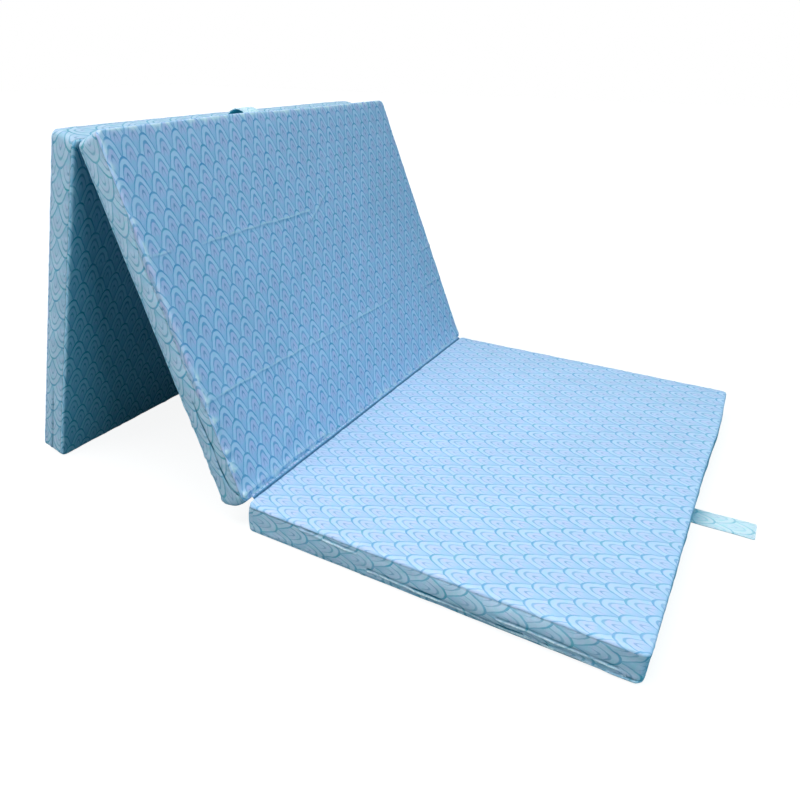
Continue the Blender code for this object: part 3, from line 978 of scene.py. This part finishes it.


# Print: way of the arches along the panel, its slant, one arch's tip from the near edge and from
# the fold, and how far the cloth is stretched across and along. Ends: how far they puff out at the
# back and at the face. Bows and bulges: height, place and half length, as shares of the side.
# End round: how far the middle of the fold end stands out, everywhere and more by the near corner.
# Room: how far the back and the face may stand out, because another panel folds against them.
# Seam dip: how far the near seam slips down the side band, and between which two places.
# Gathered: how far from the fold the near edge is puckered more, and how much more.
# Folds: points along a crease, half width, height (a slit is negative) and how strongly it shows painted
# highlight (negative: the painted shadow of a slit).
cushions = {
    "seat": {
        "pieceName": "seatCushion", "body": "seat", "nearSide": -1,
        "face": (-1, 0.0138, 0.1087, 0.3630, 1.002, 0.989), "back": (-1, 0.0, 0.1283, 0.3925, 1, 1),
        "faceCloth": "face", "bandWay": 1, "bandShift": 0.0, "seed": 11,
        "faceCrown": 0.0019, "backCrown": 0.0,
        "foldEnd": (0.0055, 0.0022), "freeEnd": (-0.0010, 0.0022), "bow": (0.0045, 0.80, 0.14),
        "sideBulge": (0.0045, 0.72, 0.16), "edgeLift": (0.0, 0.0022), "room": (0.0, 0.0029),
        "endRound": (0.0, 0.003), "edgeHighlight": 0.25, "seamDip": (0, 0, 0), "gathered": (0.05, 0.0),
        "faceFolds": [
            ([(0.205, 0.0), (0.203, 0.35), (0.206, 0.62)], 0.0035, 0.0006, 0.25),
            ([(0.408, 0.28), (0.405, 0.60), (0.409, 0.9144)], 0.0035, 0.0006, 0.25),
            ([(0.02, 0.42), (0.18, 0.425)], 0.0035, 0.0005, 0.2),
        ],
        "backFolds": [([(0.21, 0.0), (0.208, 0.9144)], 0.0035, 0.0007, 0.2)],
        "bandFolds": [
            ([(0.10, 0.0425), (0.14, 0.0405), (0.20, 0.0385)], 0.0017, 0.0024, 1.2),
            ([(0.0, 0.0458), (0.06, 0.0455), (0.13, 0.0448)], 0.0014, -0.0008, -0.7),
            ([(0.22, 0.0155), (0.30, 0.0140), (0.42, 0.010), (0.60, 0.004)], 0.0019, 0.0024, 1.5),
            ([(0.42, 0.0245), (0.486, 0.022), (0.576, 0.015)], 0.0018, 0.0022, 1.2),
        ],
    },
    "backrest": {
        "pieceName": "backrestCushion", "body": "backrest", "nearSide": 1,
        "face": (1, -0.0883, 0.1953, 0.3289, 1, 1.013), "back": (-1, 0.03, 0.15, 0.30, 1, 1),
        "faceCloth": "strongFace", "bandWay": 1, "bandShift": 0.01, "seed": 23,
        "faceCrown": 0.0019, "backCrown": 0.0008,
        "foldEnd": (0.008, 0.0024), "freeEnd": (0.0008, 0.0032), "bow": (0.0025, 0.35, 0.16),
        "sideBulge": (0.001, 0.4, 0.2), "edgeLift": (0.0, 0.0022), "room": (-0.0014, 0.0029),
        "endRound": (0.0035, 0.006), "edgeHighlight": 0.8, "seamDip": (0.009, 0.18, 0.45),
        "gathered": (0.27, 1.5),
        "faceFolds": [
            ([(0.4085, 0.127), (0.4115, 0.25), (0.409, 0.38), (0.4096, 0.46)], 0.0030, 0.0015, 1.0),
            ([(0.3906, 0.443), (0.4346, 0.533)], 0.0032, 0.0015, 0.9),
            ([(0.1726, 0.0), (0.174, 0.2), (0.171, 0.42), (0.1726, 0.64)], 0.0030, 0.0014, 0.9),
            ([(0.4126, 0.0), (0.413, 0.05)], 0.0030, 0.0012, 0.7),
            ([(0.160, 0.80), (0.158, 0.9144)], 0.0032, 0.0013, 0.7),
            ([(0.240, 0.82), (0.243, 0.9144)], 0.0032, 0.0012, 0.7),
            ([(0.009, -0.01), (0.0095, 0.13), (0.009, 0.25)], 0.0045, 0.0035, 1.0),
            ([(0.015, 0.08), (0.045, 0.14), (0.075, 0.20)], 0.016, 0.0018, 0.35),
        ],
        "backFolds": [([(0.41, 0.0), (0.412, 0.9144)], 0.0035, 0.0007, 0.3),
                      ([(0.17, 0.1), (0.172, 0.8)], 0.0035, 0.0007, 0.3)],
        "bandFolds": [([(0.180, 0.027), (0.12, 0.030), (0.06, 0.0285), (0.024, 0.034), (0.010, 0.043)],
                       0.0022, -0.0024, -1.5)],
    },
    "rear_leg": {
        "pieceName": "rearLegCushion", "body": "rear_leg", "nearSide": 1,
        "face": (1, 0.02, 0.17, 0.31, 1, 1), "back": (-1, 0.03, 0.16, 0.33, 1, 1),
        "faceCloth": "face", "bandWay": -1, "bandShift": 0.02, "seed": 37,
        "faceCrown": 0.0028, "backCrown": 0.0008,
        "foldEnd": (0.0028, 0.0085), "freeEnd": (0.0, 0.0), "bow": (0.0, 0.5, 0.2),
        "sideBulge": (0.002, 0.6, 0.2), "edgeLift": (0.0008, 0.0), "room": (-0.0014, 0.009),
        "endRound": (0.001, 0.004), "edgeHighlight": 0.6, "seamDip": (0, 0, 0), "gathered": (0.05, 0.0),
        "faceFolds": [([(0.205, 0.0), (0.203, 0.9144)], 0.0035, 0.0013, 0.7),
                      ([(0.41, 0.12), (0.408, 0.74)], 0.0035, 0.0012, 0.6),
                      ([(0.30, 0.452), (0.52, 0.455)], 0.0035, 0.0010, 0.5)],
        "backFolds": [([(0.217, 0.0), (0.219, 0.9144)], 0.0035, 0.0010, 0.3)],
        "bandFolds": [([(0.466, 0.027), (0.54, 0.028), (0.606, 0.029)], 0.0020, -0.0020, -0.8)],
    },
}


def crownShare(x, y):
    acrossLength = np.abs(2 * x / panel["length"] - 1)
    acrossWidth = np.abs(2 * y / panel["width"])
    return np.clip(1 - acrossLength ** 4, 0, None) * np.clip(1 - acrossWidth ** 4, 0, None)


# lengths in metres. Pairs are a height and the size of the patches it changes over.
swelling = {
    "sideReach": 0.003,          # how far the middle of a side band stands out
    "endReach": 0.0012,
    "wander": ((0.0009, 0.045), (0.0005, 0.018)),
    "seamWidth": 0.0011,
    "seamPull": (0.0006, 0.0004),    # how far a seam is drawn in, and how much that changes
    "endDepth": 0.055,           # the puff of an end fades out over this length
    "cornerLoss": 0.22,          # share of the puff that the corners lack
    "roundDepth": 0.04,
    "roundReach": 0.05,
    "liftDepth": 0.02,
    "slack": ((0.0007, 0.13), (0.0004, 0.05)),
    "backSlack": 0.4,
}


def swellPanel(piece, look, row):
    # crowned faces and swelling side bands, drawn in at the seams
    length, width, thick = panel["length"], panel["width"], panel["thickness"]
    seam, seed = panel["seamDrop"], look["seed"]
    startX, startY, startZ = pointsOf(piece).T
    x, y, z = startX.copy(), startY.copy(), startZ.copy()
    outX, outY, far = outlineParts(x, y)[2:]
    wayX, wayY = outX / np.maximum(far, 1e-7), outY / np.maximum(far, 1e-7)
    place = stripPlace(x, y)[0]
    heightShare = (row - seam) / (thick - 2 * seam)
    onBand = (heightShare > 0) & (heightShare < 1)
    heightShare = np.clip(heightShare, 0, 1)
    fromNear = 0.5 - look["nearSide"] * y / width
    bulge, bulgePlace, bulgeHalf = look["sideBulge"]
    sideReach = swelling["sideReach"] * np.sin(math.pi * np.clip(x / length, 0, 1))
    sideReach += bulge * hump(x / length, bulgePlace, bulgeHalf) * (fromNear < 0.5)
    endReach = swelling["endReach"] * np.cos(math.pi * np.clip(y / width, -0.5, 0.5))
    reach = (sideReach * np.abs(wayY) + endReach * np.abs(wayX)) * np.sin(math.pi * heightShare)
    (broad, broadSize), (fine, fineSize) = swelling["wander"]
    wander = (ripple(place, z, seed, broadSize) * broad
              + ripple(place, z * 2, seed + 1, fineSize) * fine)
    bandFade = smoothShare(heightShare * (1 - heightShare), 0.0, 0.12)
    reach = np.where(onBand, reach + wander * bandFade * smoothShare(far, 0.006, 0.011), 0)
    # the seam pulls its own row of points in
    deep, change = swelling["seamPull"]
    for level in (seam, thick - seam):
        pull = hump(row, level, swelling["seamWidth"]) * smoothShare(far, 0.006, 0.0115)
        reach = reach - pull * (deep + change * ripple(place, z * 0, seed + 5, 0.012))
    x += wayX * reach
    y += wayY * reach
    # soft ends: the foam stands out most on the side away from the fold's axis
    level = np.clip(z / thick, 0, 1)
    corners = 1 - swelling["cornerLoss"] * np.abs(2 * fromNear - 1) ** 8
    for end, side, apart in (("foldEnd", -1, startX), ("freeEnd", 1, length - startX)):
        low, high = look[end]
        fade = (1 - smoothShare(apart, 0.0, swelling["endDepth"])) * corners
        x += side * (low + (high - low) * level) * fade
    everywhere, nearCorner = look["endRound"]
    rounded = everywhere * corners + nearCorner * np.exp(-fromNear * width / swelling["roundReach"])
    x -= rounded * np.sin(math.pi * level) * (1 - smoothShare(startX, 0.0, swelling["roundDepth"]))
    bow, bowPlace, bowHalf = look["bow"]
    x += bow * hump(fromNear, bowPlace, bowHalf) * smoothShare(startX / length, 0.85, 1.0)
    lowLift, highLift = look["edgeLift"]
    beside = 1 - smoothShare(startX, 0.0, swelling["liftDepth"])
    z += highLift * beside * smoothShare(level, 0.75, 1.0)
    z -= lowLift * beside * smoothShare(1 - level, 0.75, 1.0)
    depth = np.minimum(z, thick - z)
    crown = crownShare(startX, startY) * np.clip(1 - depth / panel["edgeRoll"], 0, None)
    (broad, broadSize), (fine, fineSize) = swelling["slack"]
    slack = (ripple(startX, startY, seed + 2, broadSize) * broad
             + ripple(startX, startY, seed + 3, fineSize) * fine)
    backSlack = slack * swelling["backSlack"] * (look["backCrown"] > 0)
    z += np.where(startZ > thick / 2, look["faceCrown"] + slack, -(look["backCrown"] + backSlack)) * crown
    movePoints(piece, x, y, z)


simulation = {
    "pressure": 4.0,
    "frames": 20,
    "vertexMass": 0.03,
    "tension": 15.0,
    "shear": 5.0,
    "bending": 0.03,
    "shrink": -0.03,         # the cover is cut a little larger than the foam
    "hold": 0.38,            # how firmly the foam keeps the cover to its shape
    "cap": 0.0022,           # no point moves further than this
    "smoothings": 4,         # the finest ripples are evened out
    "evenShare": 0.6,
    "strength": 0.9,
}


def evenOut(piece, values, rounds):
    # each value moves towards the middle of its neighbours' values
    share = simulation["evenShare"]
    edges = np.empty(len(piece.data.edges) * 2, np.int32)
    piece.data.edges.foreach_get("vertices", edges)
    a, b = edges.reshape(-1, 2).T
    count = np.bincount(a, minlength=len(values)) + np.bincount(b, minlength=len(values))
    for _ in range(rounds):
        total = np.zeros_like(values)
        for axis in range(values.shape[1]):
            total[:, axis] = (np.bincount(a, values[b, axis], len(values))
                              + np.bincount(b, values[a, axis], len(values)))
        values = (1 - share) * values + share * total / count[:, None]
    return values


def slackCover(piece, row):
    # a short cloth simulation gives the cover its slack over the foam, held at the side seams
    start = pointsOf(piece)
    seam, thick = panel["seamDrop"], panel["thickness"]
    held = piece.vertex_groups.new(name="held")
    atSeam = (np.abs(row - seam) < 0.0004) | (np.abs(row - (thick - seam)) < 0.0004)
    held.add(np.flatnonzero(atSeam).tolist(), 1.0, "REPLACE")
    held.add(np.flatnonzero(~atSeam).tolist(), simulation["hold"], "REPLACE")
    cover = piece.modifiers.new("cover", "CLOTH")
    settings = cover.settings
    settings.quality = 4
    settings.mass = simulation["vertexMass"]
    settings.tension_stiffness = settings.compression_stiffness = simulation["tension"]
    settings.shear_stiffness = simulation["shear"]
    settings.bending_stiffness = simulation["bending"]
    settings.shrink_min = settings.shrink_max = simulation["shrink"]
    settings.use_pressure = True
    settings.uniform_pressure_force = simulation["pressure"]
    settings.vertex_group_mass = held.name
    settings.effector_weights.gravity = 0
    cover.collision_settings.use_collision = False
    cover.collision_settings.use_self_collision = False
    scene = bpy.context.scene
    for frame in range(1, simulation["frames"] + 1):
        scene.frame_set(frame)
    makeActive(piece)
    bpy.ops.object.modifier_apply(modifier=cover.name)
    scene.frame_set(1)
    piece.vertex_groups.clear()
    moved = evenOut(piece, pointsOf(piece) - start, simulation["smoothings"]) * simulation["strength"]
    far = np.linalg.norm(moved, axis=1)
    cap = simulation["cap"]
    kept = cap * np.tanh(far / cap) / np.maximum(far, 1e-9)
    movePoints(piece, *(start + moved * kept[:, None]).T)
    print("cover simulated: middle move", round(float(np.median(far)) * 1000, 2), "mm, largest",
          round(float(far.max()) * 1000, 2), "mm")


def subdivideOnce(piece):
    smooth = piece.modifiers.new("rounding", "SUBSURF")
    smooth.levels = smooth.render_levels = 1
    smooth.uv_smooth = "NONE"
    smooth.boundary_smooth = "PRESERVE_CORNERS"
    applyAll(piece)


def nearPath(u, v, path):
    # of each point: signed distance from a line through some places, how far along it, and how
    # far past its ends
    best, (signed, along, past) = np.full(len(u), 9.0), np.zeros((3, len(u)))
    run = 0.0
    for count, ((u0, v0), (u1, v1)) in enumerate(zip(path[:-1], path[1:])):
        stepU, stepV = u1 - u0, v1 - v0
        long = math.hypot(stepU, stepV)
        raw = ((u - u0) * stepU + (v - v0) * stepV) / long ** 2
        share = np.clip(raw, 0, 1)
        offU, offV = u - u0 - share * stepU, v - v0 - share * stepV
        far = np.hypot(offU, offV)
        beyond = np.zeros(len(u))
        if count == 0:
            beyond = np.maximum(beyond, -raw * long)
        if count == len(path) - 2:
            beyond = np.maximum(beyond, (raw - 1) * long)
        closer = far < best
        best = np.where(closer, far, best)
        signed = np.where(closer, far * np.sign(stepU * offV - stepV * offU), signed)
        along = np.where(closer, run + share * long, along)
        past = np.where(closer, beyond, past)
        run += long
    return signed, along, past


pucker = {
    "height": 0.0010,
    "spacing": (0.0105, 0.006),   # the coarse and the fine gathers beside a seam
    "reach": 0.015,
    "bandHeight": 0.0007,
    "bandReach": 0.009,
    "edgeHighlightReach": 0.0045,          # painted highlight beside the edge rolls
    "shares": (0.65, 0.35),       # of the coarse and the fine gathers
    "busy": (0.55, 0.6, 0.11),    # least strength, more of it in patches, and their size
    "gatherReach": 0.03,
    "paintedLight": (0.5, 0.3),           # strength of the painted highlight and shade on the gathers, on faces and side bands
}
crease = {
    "sway": 0.5,             # how far a crease wanders, as a share of its half width
    "swaySize": 0.03,
    "groove": (1.8, 0.6),    # its furrow: how many half widths beside it, and how deep
    "live": (0.7, 0.45, 0.016),  # middle height, how far it changes along the crease, and how fast
    "paintedLight": (0.3, 0.4),      # painted highlight of the ridge, and the share of it that the furrow takes away as painted shade
    "facing": (0.55, 0.9),   # a side counts as face, back or band by where its normals point
    "fade": (0.005, 0.0105),     # a crease's fine painted line of light and shade fades out between these distances
    "lineReach": 0.011,      # and is drawn within this one
}


def sculptCover(piece, look):
    # creases left from packing, slits and lips on the near band, and puckers beside the seams
    length, width, thick = panel["length"], panel["width"], panel["thickness"]
    points, normals = pointsOf(piece), pointsOf(piece, "normal")
    x, y, z = points.T.copy()
    seed, near, up = look["seed"], look["nearSide"], normals[:, 2]
    fromNear = width / 2 - near * y
    shares = {
        "faceFolds": smoothShare(up, *crease["facing"]),
        "backFolds": smoothShare(-up, *crease["facing"]),
        "bandFolds": smoothShare(near * normals[:, 1], *crease["facing"]),
    }
    lift, paintedLight = np.zeros((2, len(x)))
    line = np.zeros((len(x), 3))
    line[:, 0] = 0.02
    swayU, swayV = (ripple(x, fromNear, seed + more, crease["swaySize"]) for more in (20, 21))
    (beside, deep), (tint, tintLoss) = crease["groove"], crease["paintedLight"]
    middle, change, size = crease["live"]
    for region, share in shares.items():
        across = z if region == "bandFolds" else fromNear
        for count, (path, half, rise, pale) in enumerate(look[region]):
            sway = half * crease["sway"]
            signed, along, past = nearPath(x + swayU * sway, across + swayV * sway, path)
            live = middle + change * ripple(along, along * 0 + count, seed + 30, size)
            ridge = hump(signed, 0, half) * share * live
            groove = hump(signed, beside * half, half) * share * live
            lift += rise * (ridge - deep * groove)
            # painted highlight on the crease's ridge and painted shade in its furrow; a negative strength
            # paints the shadow of a slit
            paintedLight += tint * pale * (ridge - tintLoss * groove)
            far = np.abs(signed)
            strength = pale * share * np.clip(live, 0.4, 1.2) * (1 - smoothShare(far, *crease["fade"]))
            strength *= 1 - smoothShare(past, 0.0, 0.002)
            close = (far < crease["lineReach"]) & (share > 0.2)
            line = np.where(close[:, None], np.stack([signed, strength, along + 0.7 * count], 1), line)
    place = stripPlace(x, y)[0]
    gather = sum(part * ripple(place, place * 0, seed + more, size)
                 for part, more, size in zip(pucker["shares"], (7, 8), pucker["spacing"]))
    least, change, size = pucker["busy"]
    busy = least + change * np.clip(ripple(place, place * 0, seed + 9, size), 0, 1)
    reach, more = look["gathered"]
    busy += more * np.exp(-fromNear / pucker["gatherReach"]) * (1 - smoothShare(x, reach * 0.7, reach * 1.1))
    inward = np.minimum.reduce([x, length - x, width / 2 - np.abs(y)])
    flat = shares["faceFolds"] + shares["backFolds"] * (look["backCrown"] > 0)
    gathered = gather * busy * fadeOut(inward - 0.003, pucker["reach"]) * flat
    lift += pucker["height"] * gathered
    # painted highlight and painted shade that follow the gathers beside the seams
    paintedLight += pucker["paintedLight"][0] * gathered
    # painted highlight beside the edge rolls of the faces, where they catch the light
    paintedLight += look["edgeHighlight"] * fadeOut(inward, pucker["edgeHighlightReach"]) * flat * (0.75 + 0.9 * gather)
    seamAway = np.minimum(z, thick - z) - panel["seamDrop"]
    onBand = (1 - np.clip(np.abs(up) * 1.6, 0, 1)) * fadeOut(seamAway, pucker["bandReach"])
    lift += pucker["bandHeight"] * gather * onBand
    # painted highlight and painted shade on the side band's gathers
    paintedLight += pucker["paintedLight"][1] * gather * onBand
    x, y, z = (points + normals * lift[:, None]).T
    # the part that another panel folds against, or the floor holds, stays inside its room
    low, high = look["room"]
    movePoints(piece, x, y, np.clip(z, low, thick + high))
    # these attributes hold painted light: highlight above zero and shade below zero, and the crease lines
    # that the material draws as painted highlight and shade
    toned = piece.data.attributes.new("foldPaintedLight", "FLOAT", "POINT")
    toned.data.foreach_set("value", np.clip(paintedLight, -1, 1).astype(np.float32))
    lined = piece.data.attributes.new("foldLine", "FLOAT_VECTOR", "POINT")
    lined.data.foreach_set("vector", line.astype(np.float32).ravel())


blank = makeBlank()
print("cushion blank:", len(blank.data.polygons), "faces")
for name, look in cushions.items():
    cushion = copyPiece(blank, look["pieceName"])
    # the copies of the print on the backrest's face, the side bands and the backs paint the light and shade
    # each side gets
    for key in (look["faceCloth"], "band", "back"):
        cushion.data.materials.append(cloth[key])
    rowHeight = pointsOf(cushion)[:, 2]
    dipSeam(cushion, look)
    layMaps(cushion, look, rowHeight)
    swellPanel(cushion, look, rowHeight)
    slackCover(cushion, rowHeight)
    subdivideOnce(cushion)
    sculptCover(cushion, look)
    settle(cushion, panelPlace[name])
    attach(cushion, look["body"])
    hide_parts(name + "_foam", name + "_face_cloth", name + "_back_cloth", name + "_side_band")
    print(look["pieceName"], "made:", len(cushion.data.polygons), "faces")
bpy.data.objects.remove(blank)


fold = {
    "seamLength": 0.8804,
    "step": 0.007,
    "frontBead": 0.0011,
    "rearBead": 0.001,
    "stripThickness": 0.0009,
    "stripCells": 4,
    "stripWave": 0.0004,
    "rollSwell": 0.12,      # how unevenly thick the rolled seams are
    "overlap": 0.0018,      # a strip's end lies this far inside the panel's edge roll
}


def cutRows(count, length, axis):
    # across a piece that runs along an axis, its middle at zero
    for step in range(1, count):
        point, normal = [0, 0, 0], [0, 0, 0]
        point[axis] = length * (step / count - 0.5)
        normal[axis] = 1
        cutAcross(point, normal)


def makeStrip(name, place, rollCentre, axis, bead, body, material, seed):
    # the cloth between a panel's edge roll and the seam on the fold's axis
    run = rollCentre - axis
    start, finish = bead * 0.6, run.length - panel["edgeRoll"] + fold["overlap"]
    strip = startBlock(name, (finish - start, fold["seamLength"], fold["stripThickness"]),
                       ((start + finish) / 2, 0, 0))
    roundEdges(strip, lambda a, b: abs(a.y - b.y) < 1e-6 and abs(a.x - b.x) < 1e-6,
               fold["stripThickness"] * 0.3, 2)
    cutRows(round(fold["seamLength"] / fold["step"]), fold["seamLength"], 1)
    for step in range(1, fold["stripCells"]):
        cutAcross((start + (finish - start) * step / fold["stripCells"], 0, 0), (1, 0, 0))
    bpy.ops.object.mode_set(mode="OBJECT")
    x, y, z = pointsOf(strip).T
    share = np.clip((x - start) / (finish - start), 0, 1)
    corner = numbersOf(strip.data.loops, "vertex_index")
    for label in ("printMap", "edgeMap"):
        layMap(strip, label, y[corner], x[corner])
    movePoints(strip, x, y, z + ripple(y, x, seed, 0.015) * fold["stripWave"] * np.sin(math.pi * share))
    bpy.ops.object.shade_smooth()
    strip.data.materials.append(material)
    angle = -math.atan2(run.z, run.x)
    settle(strip, place @ Matrix.Translation(axis) @ Matrix.Rotation(angle, 4, "Y"))
    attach(strip, body)


def makeBead(name, place, radius, body, node):
    # the rolled seam on a fold's axis
    deselectAll()
    bpy.ops.mesh.primitive_cylinder_add(vertices=12, radius=radius, depth=fold["seamLength"],
                                        rotation=(math.pi / 2, 0, 0))
    bead = nameActive(name)
    editEdges()
    roundEdges(bead, lambda a, b: abs(a.y - b.y) < 1e-6, radius * 0.5, 2)
    cutRows(round(fold["seamLength"] / (fold["step"] * 0.6)), fold["seamLength"], 1)
    bpy.ops.object.mode_set(mode="OBJECT")
    x, y, z = pointsOf(bead).T
    swell = 1 + fold["rollSwell"] * ripple(y, y * 0, 5, 0.011)
    movePoints(bead, x * swell, y, z * swell)
    bpy.ops.object.shade_smooth_by_angle(angle=math.radians(50))
    bead.data.materials.append(cloth["seam"])
    settle(bead, place)
    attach(bead, body)
    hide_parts(node)


length, thick, roll = panel["length"], panel["thickness"], panel["edgeRoll"]
frontRoll, frontSeam = Vector((roll, 0, thick - roll)), Vector((-frontStand, 0, thick + frontStand))
# the seat's fold strip wears the darkened copy: painted shadow in the gap under the fold
makeStrip("seatFoldStrip", panelPlace["seat"], frontRoll, frontSeam, fold["frontBead"], "seat",
          cloth["fold"], 3)
makeStrip("backrestFoldStrip", panelPlace["backrest"], frontRoll, frontSeam, fold["frontBead"], "backrest",
          cloth["strongFace"], 4)
makeStrip("backrestRearStrip", panelPlace["backrest"], Vector((length - roll, 0, roll)),
          Vector((length + rearStand, 0, -rearStand)), fold["rearBead"], "backrest", cloth["back"], 5)
makeStrip("rearLegFoldStrip", panelPlace["rear_leg"], Vector((roll, 0, roll)),
          Vector((-rearStand, 0, -rearStand)), fold["rearBead"], "rear_leg", cloth["back"], 6)
makeBead("frontFoldRoll", Matrix.Translation(frontAxis), fold["frontBead"], "backrest", "front_fold_seam")
makeBead("rearFoldRoll", Matrix.Translation(rearFoldFrame.translation), fold["rearBead"], "rear_leg",
         "rear_fold_seam")
print("folds made")


strap = {
    "width": 0.048,
    "length": 0.098,
    "thickness": 0.0016,
    "root": (0.304224, -0.011, 0.0008),
    "cell": 0.003,
    "corner": 0.003,
    "hem": (0.004, 0.006),   # the hem ends between these distances from the edge
    "middle": 0.78,          # thickness between the hems, as a share
    "rise": 0.0011,          # how far the free end stands off the floor
    "wave": 0.0007,
    "sway": 0.0005,
}


def makeStrap():
    long, wide, cell = strap["length"], strap["width"], strap["cell"]
    half = strap["thickness"] / 2
    piece = startBlock("closingStrap", (long, wide, strap["thickness"]), (long / 2 - half, 0, 0))
    roundEdges(piece, lambda a, b: a.x > 0.05 and b.x > 0.05 and abs(a.z - b.z) > half, strap["corner"], 3)
    roundEdges(piece, lambda a, b: abs(a.z - b.z) < half, half * 0.6, 2)
    for step in range(1, round(long / cell)):
        cutAcross((step * cell, 0, 0), (1, 0, 0))
    cutRows(round(wide / cell), wide, 1)
    bpy.ops.object.mode_set(mode="OBJECT")
    x, y, z = pointsOf(piece).T
    corner = numbersOf(piece.data.loops, "vertex_index")
    layMap(piece, "printMap", y[corner], x[corner])
    inset, fromEnd = wide / 2 - np.abs(y), np.minimum(x + half, long - half - x)
    layMap(piece, "edgeMap", np.where(inset < fromEnd, x, y)[corner], np.minimum(inset, fromEnd)[corner])
    # hems stand a little thicker than the middle, and the cloth waves
    hem = 1 - smoothShare(inset, *strap["hem"])
    free = smoothShare(x, 0.006, 0.09)
    z = z * (strap["middle"] + (1 - strap["middle"]) * hem)
    z += free * (strap["rise"] + strap["wave"] * ripple(x, y, 8, 0.022))
    movePoints(piece, x, y + free * strap["sway"] * ripple(x, x * 0, 9, 0.02), z)
    bpy.ops.object.shade_smooth_by_angle(angle=math.radians(50))
    piece.data.materials.append(cloth["strap"])
    settle(piece, Matrix.Translation(strap["root"]))
    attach(piece, "closing_strap")
    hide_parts("closing_strap")


makeStrap()
print("strap made")


loop = {
    "width": 0.046,
    "thickness": 0.0016,
    "offset": -0.032,
    "rise": 0.027,
    "arch": 2.2,            # 1 is a tent, 4 is a flat top
    "lift": 0.0045,         # the loop's feet lie on the panels' puffed ends
    "footLength": 0.009,
    "wave": 0.0006,
    "runHalf": 0.055,       # half the length of the print's map
    "cells": 28,
    "footCells": 2,
    "acrossCells": 12,
}


def makeLoop():
    half = rearOpening / 2
    alongBand = Vector((math.sin(half), 0, math.cos(half)))
    offBand = Vector((-math.cos(half), 0, math.sin(half)))
    clear = loop["lift"] + loop["thickness"] / 2
    foot = alongBand * (rearStand + panel["thickness"] / 2) + offBand * clear
    toe = foot + alongBand * loop["footLength"]
    steps = loop["cells"] + 2 * loop["footCells"]
    deselectAll()
    bpy.ops.mesh.primitive_grid_add(x_subdivisions=steps, y_subdivisions=loop["acrossCells"], size=2)
    piece = nameActive("closingLoop")
    gridX, gridY, _ = pointsOf(piece).T
    # the arch lies between -1 and 1, and the sewn feet lie past it
    share = gridX * steps / loop["cells"]
    past = np.abs(share) - 1
    onFoot = past > 1e-6
    out = np.clip(past * loop["cells"] / loop["footCells"], 0, 1)
    arched = 1 - np.abs(np.clip(share, -1, 1)) ** loop["arch"]
    x = np.where(onFoot, np.sign(share) * (foot.x + (toe.x - foot.x) * out), foot.x * share)
    y = gridY * loop["width"] / 2
    z = np.where(onFoot, foot.z + (toe.z - foot.z) * out, foot.z + (loop["rise"] - foot.z) * arched)
    z += np.where(onFoot, 0, loop["wave"] * ripple(x, y, 14, 0.015))
    run = gridX * loop["runHalf"]
    corner = numbersOf(piece.data.loops, "vertex_index")
    layMap(piece, "printMap", y[corner], run[corner])
    layMap(piece, "edgeMap", run[corner], (loop["width"] / 2 - np.abs(y))[corner])
    movePoints(piece, x, y, z)
    shell = piece.modifiers.new("cloth", "SOLIDIFY")
    shell.thickness = loop["thickness"]
    shell.offset = 0
    shell.use_even_offset = True
    applyAll(piece)
    bpy.ops.object.shade_smooth_by_angle(angle=math.radians(50))
    piece.data.materials.append(cloth["strap"])
    piece.data.materials.append(cloth["lining"])
    # faces that look down get the dark plain cloth: painted shade under the loop's arch
    for face in piece.data.polygons:
        face.material_index = 1 if face.normal.z < -0.15 else 0
    place = rearFoldFrame @ Matrix.Translation((0, -loop["offset"], 0)) @ Matrix.Rotation(half, 4, "Y")
    settle(piece, place)
    return piece, place @ Vector((-0.02, 0, 0)), place @ Vector((0.02, 0, 0))


closingLoop, loopStart, loopEnd = makeLoop()
if (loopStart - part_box("rear_leg_foam")[0]).length < (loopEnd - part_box("rear_leg_foam")[0]).length:
    loopStart, loopEnd = loopEnd, loopStart
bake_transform(closingLoop)
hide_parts("closing_loop")
print("loop made")
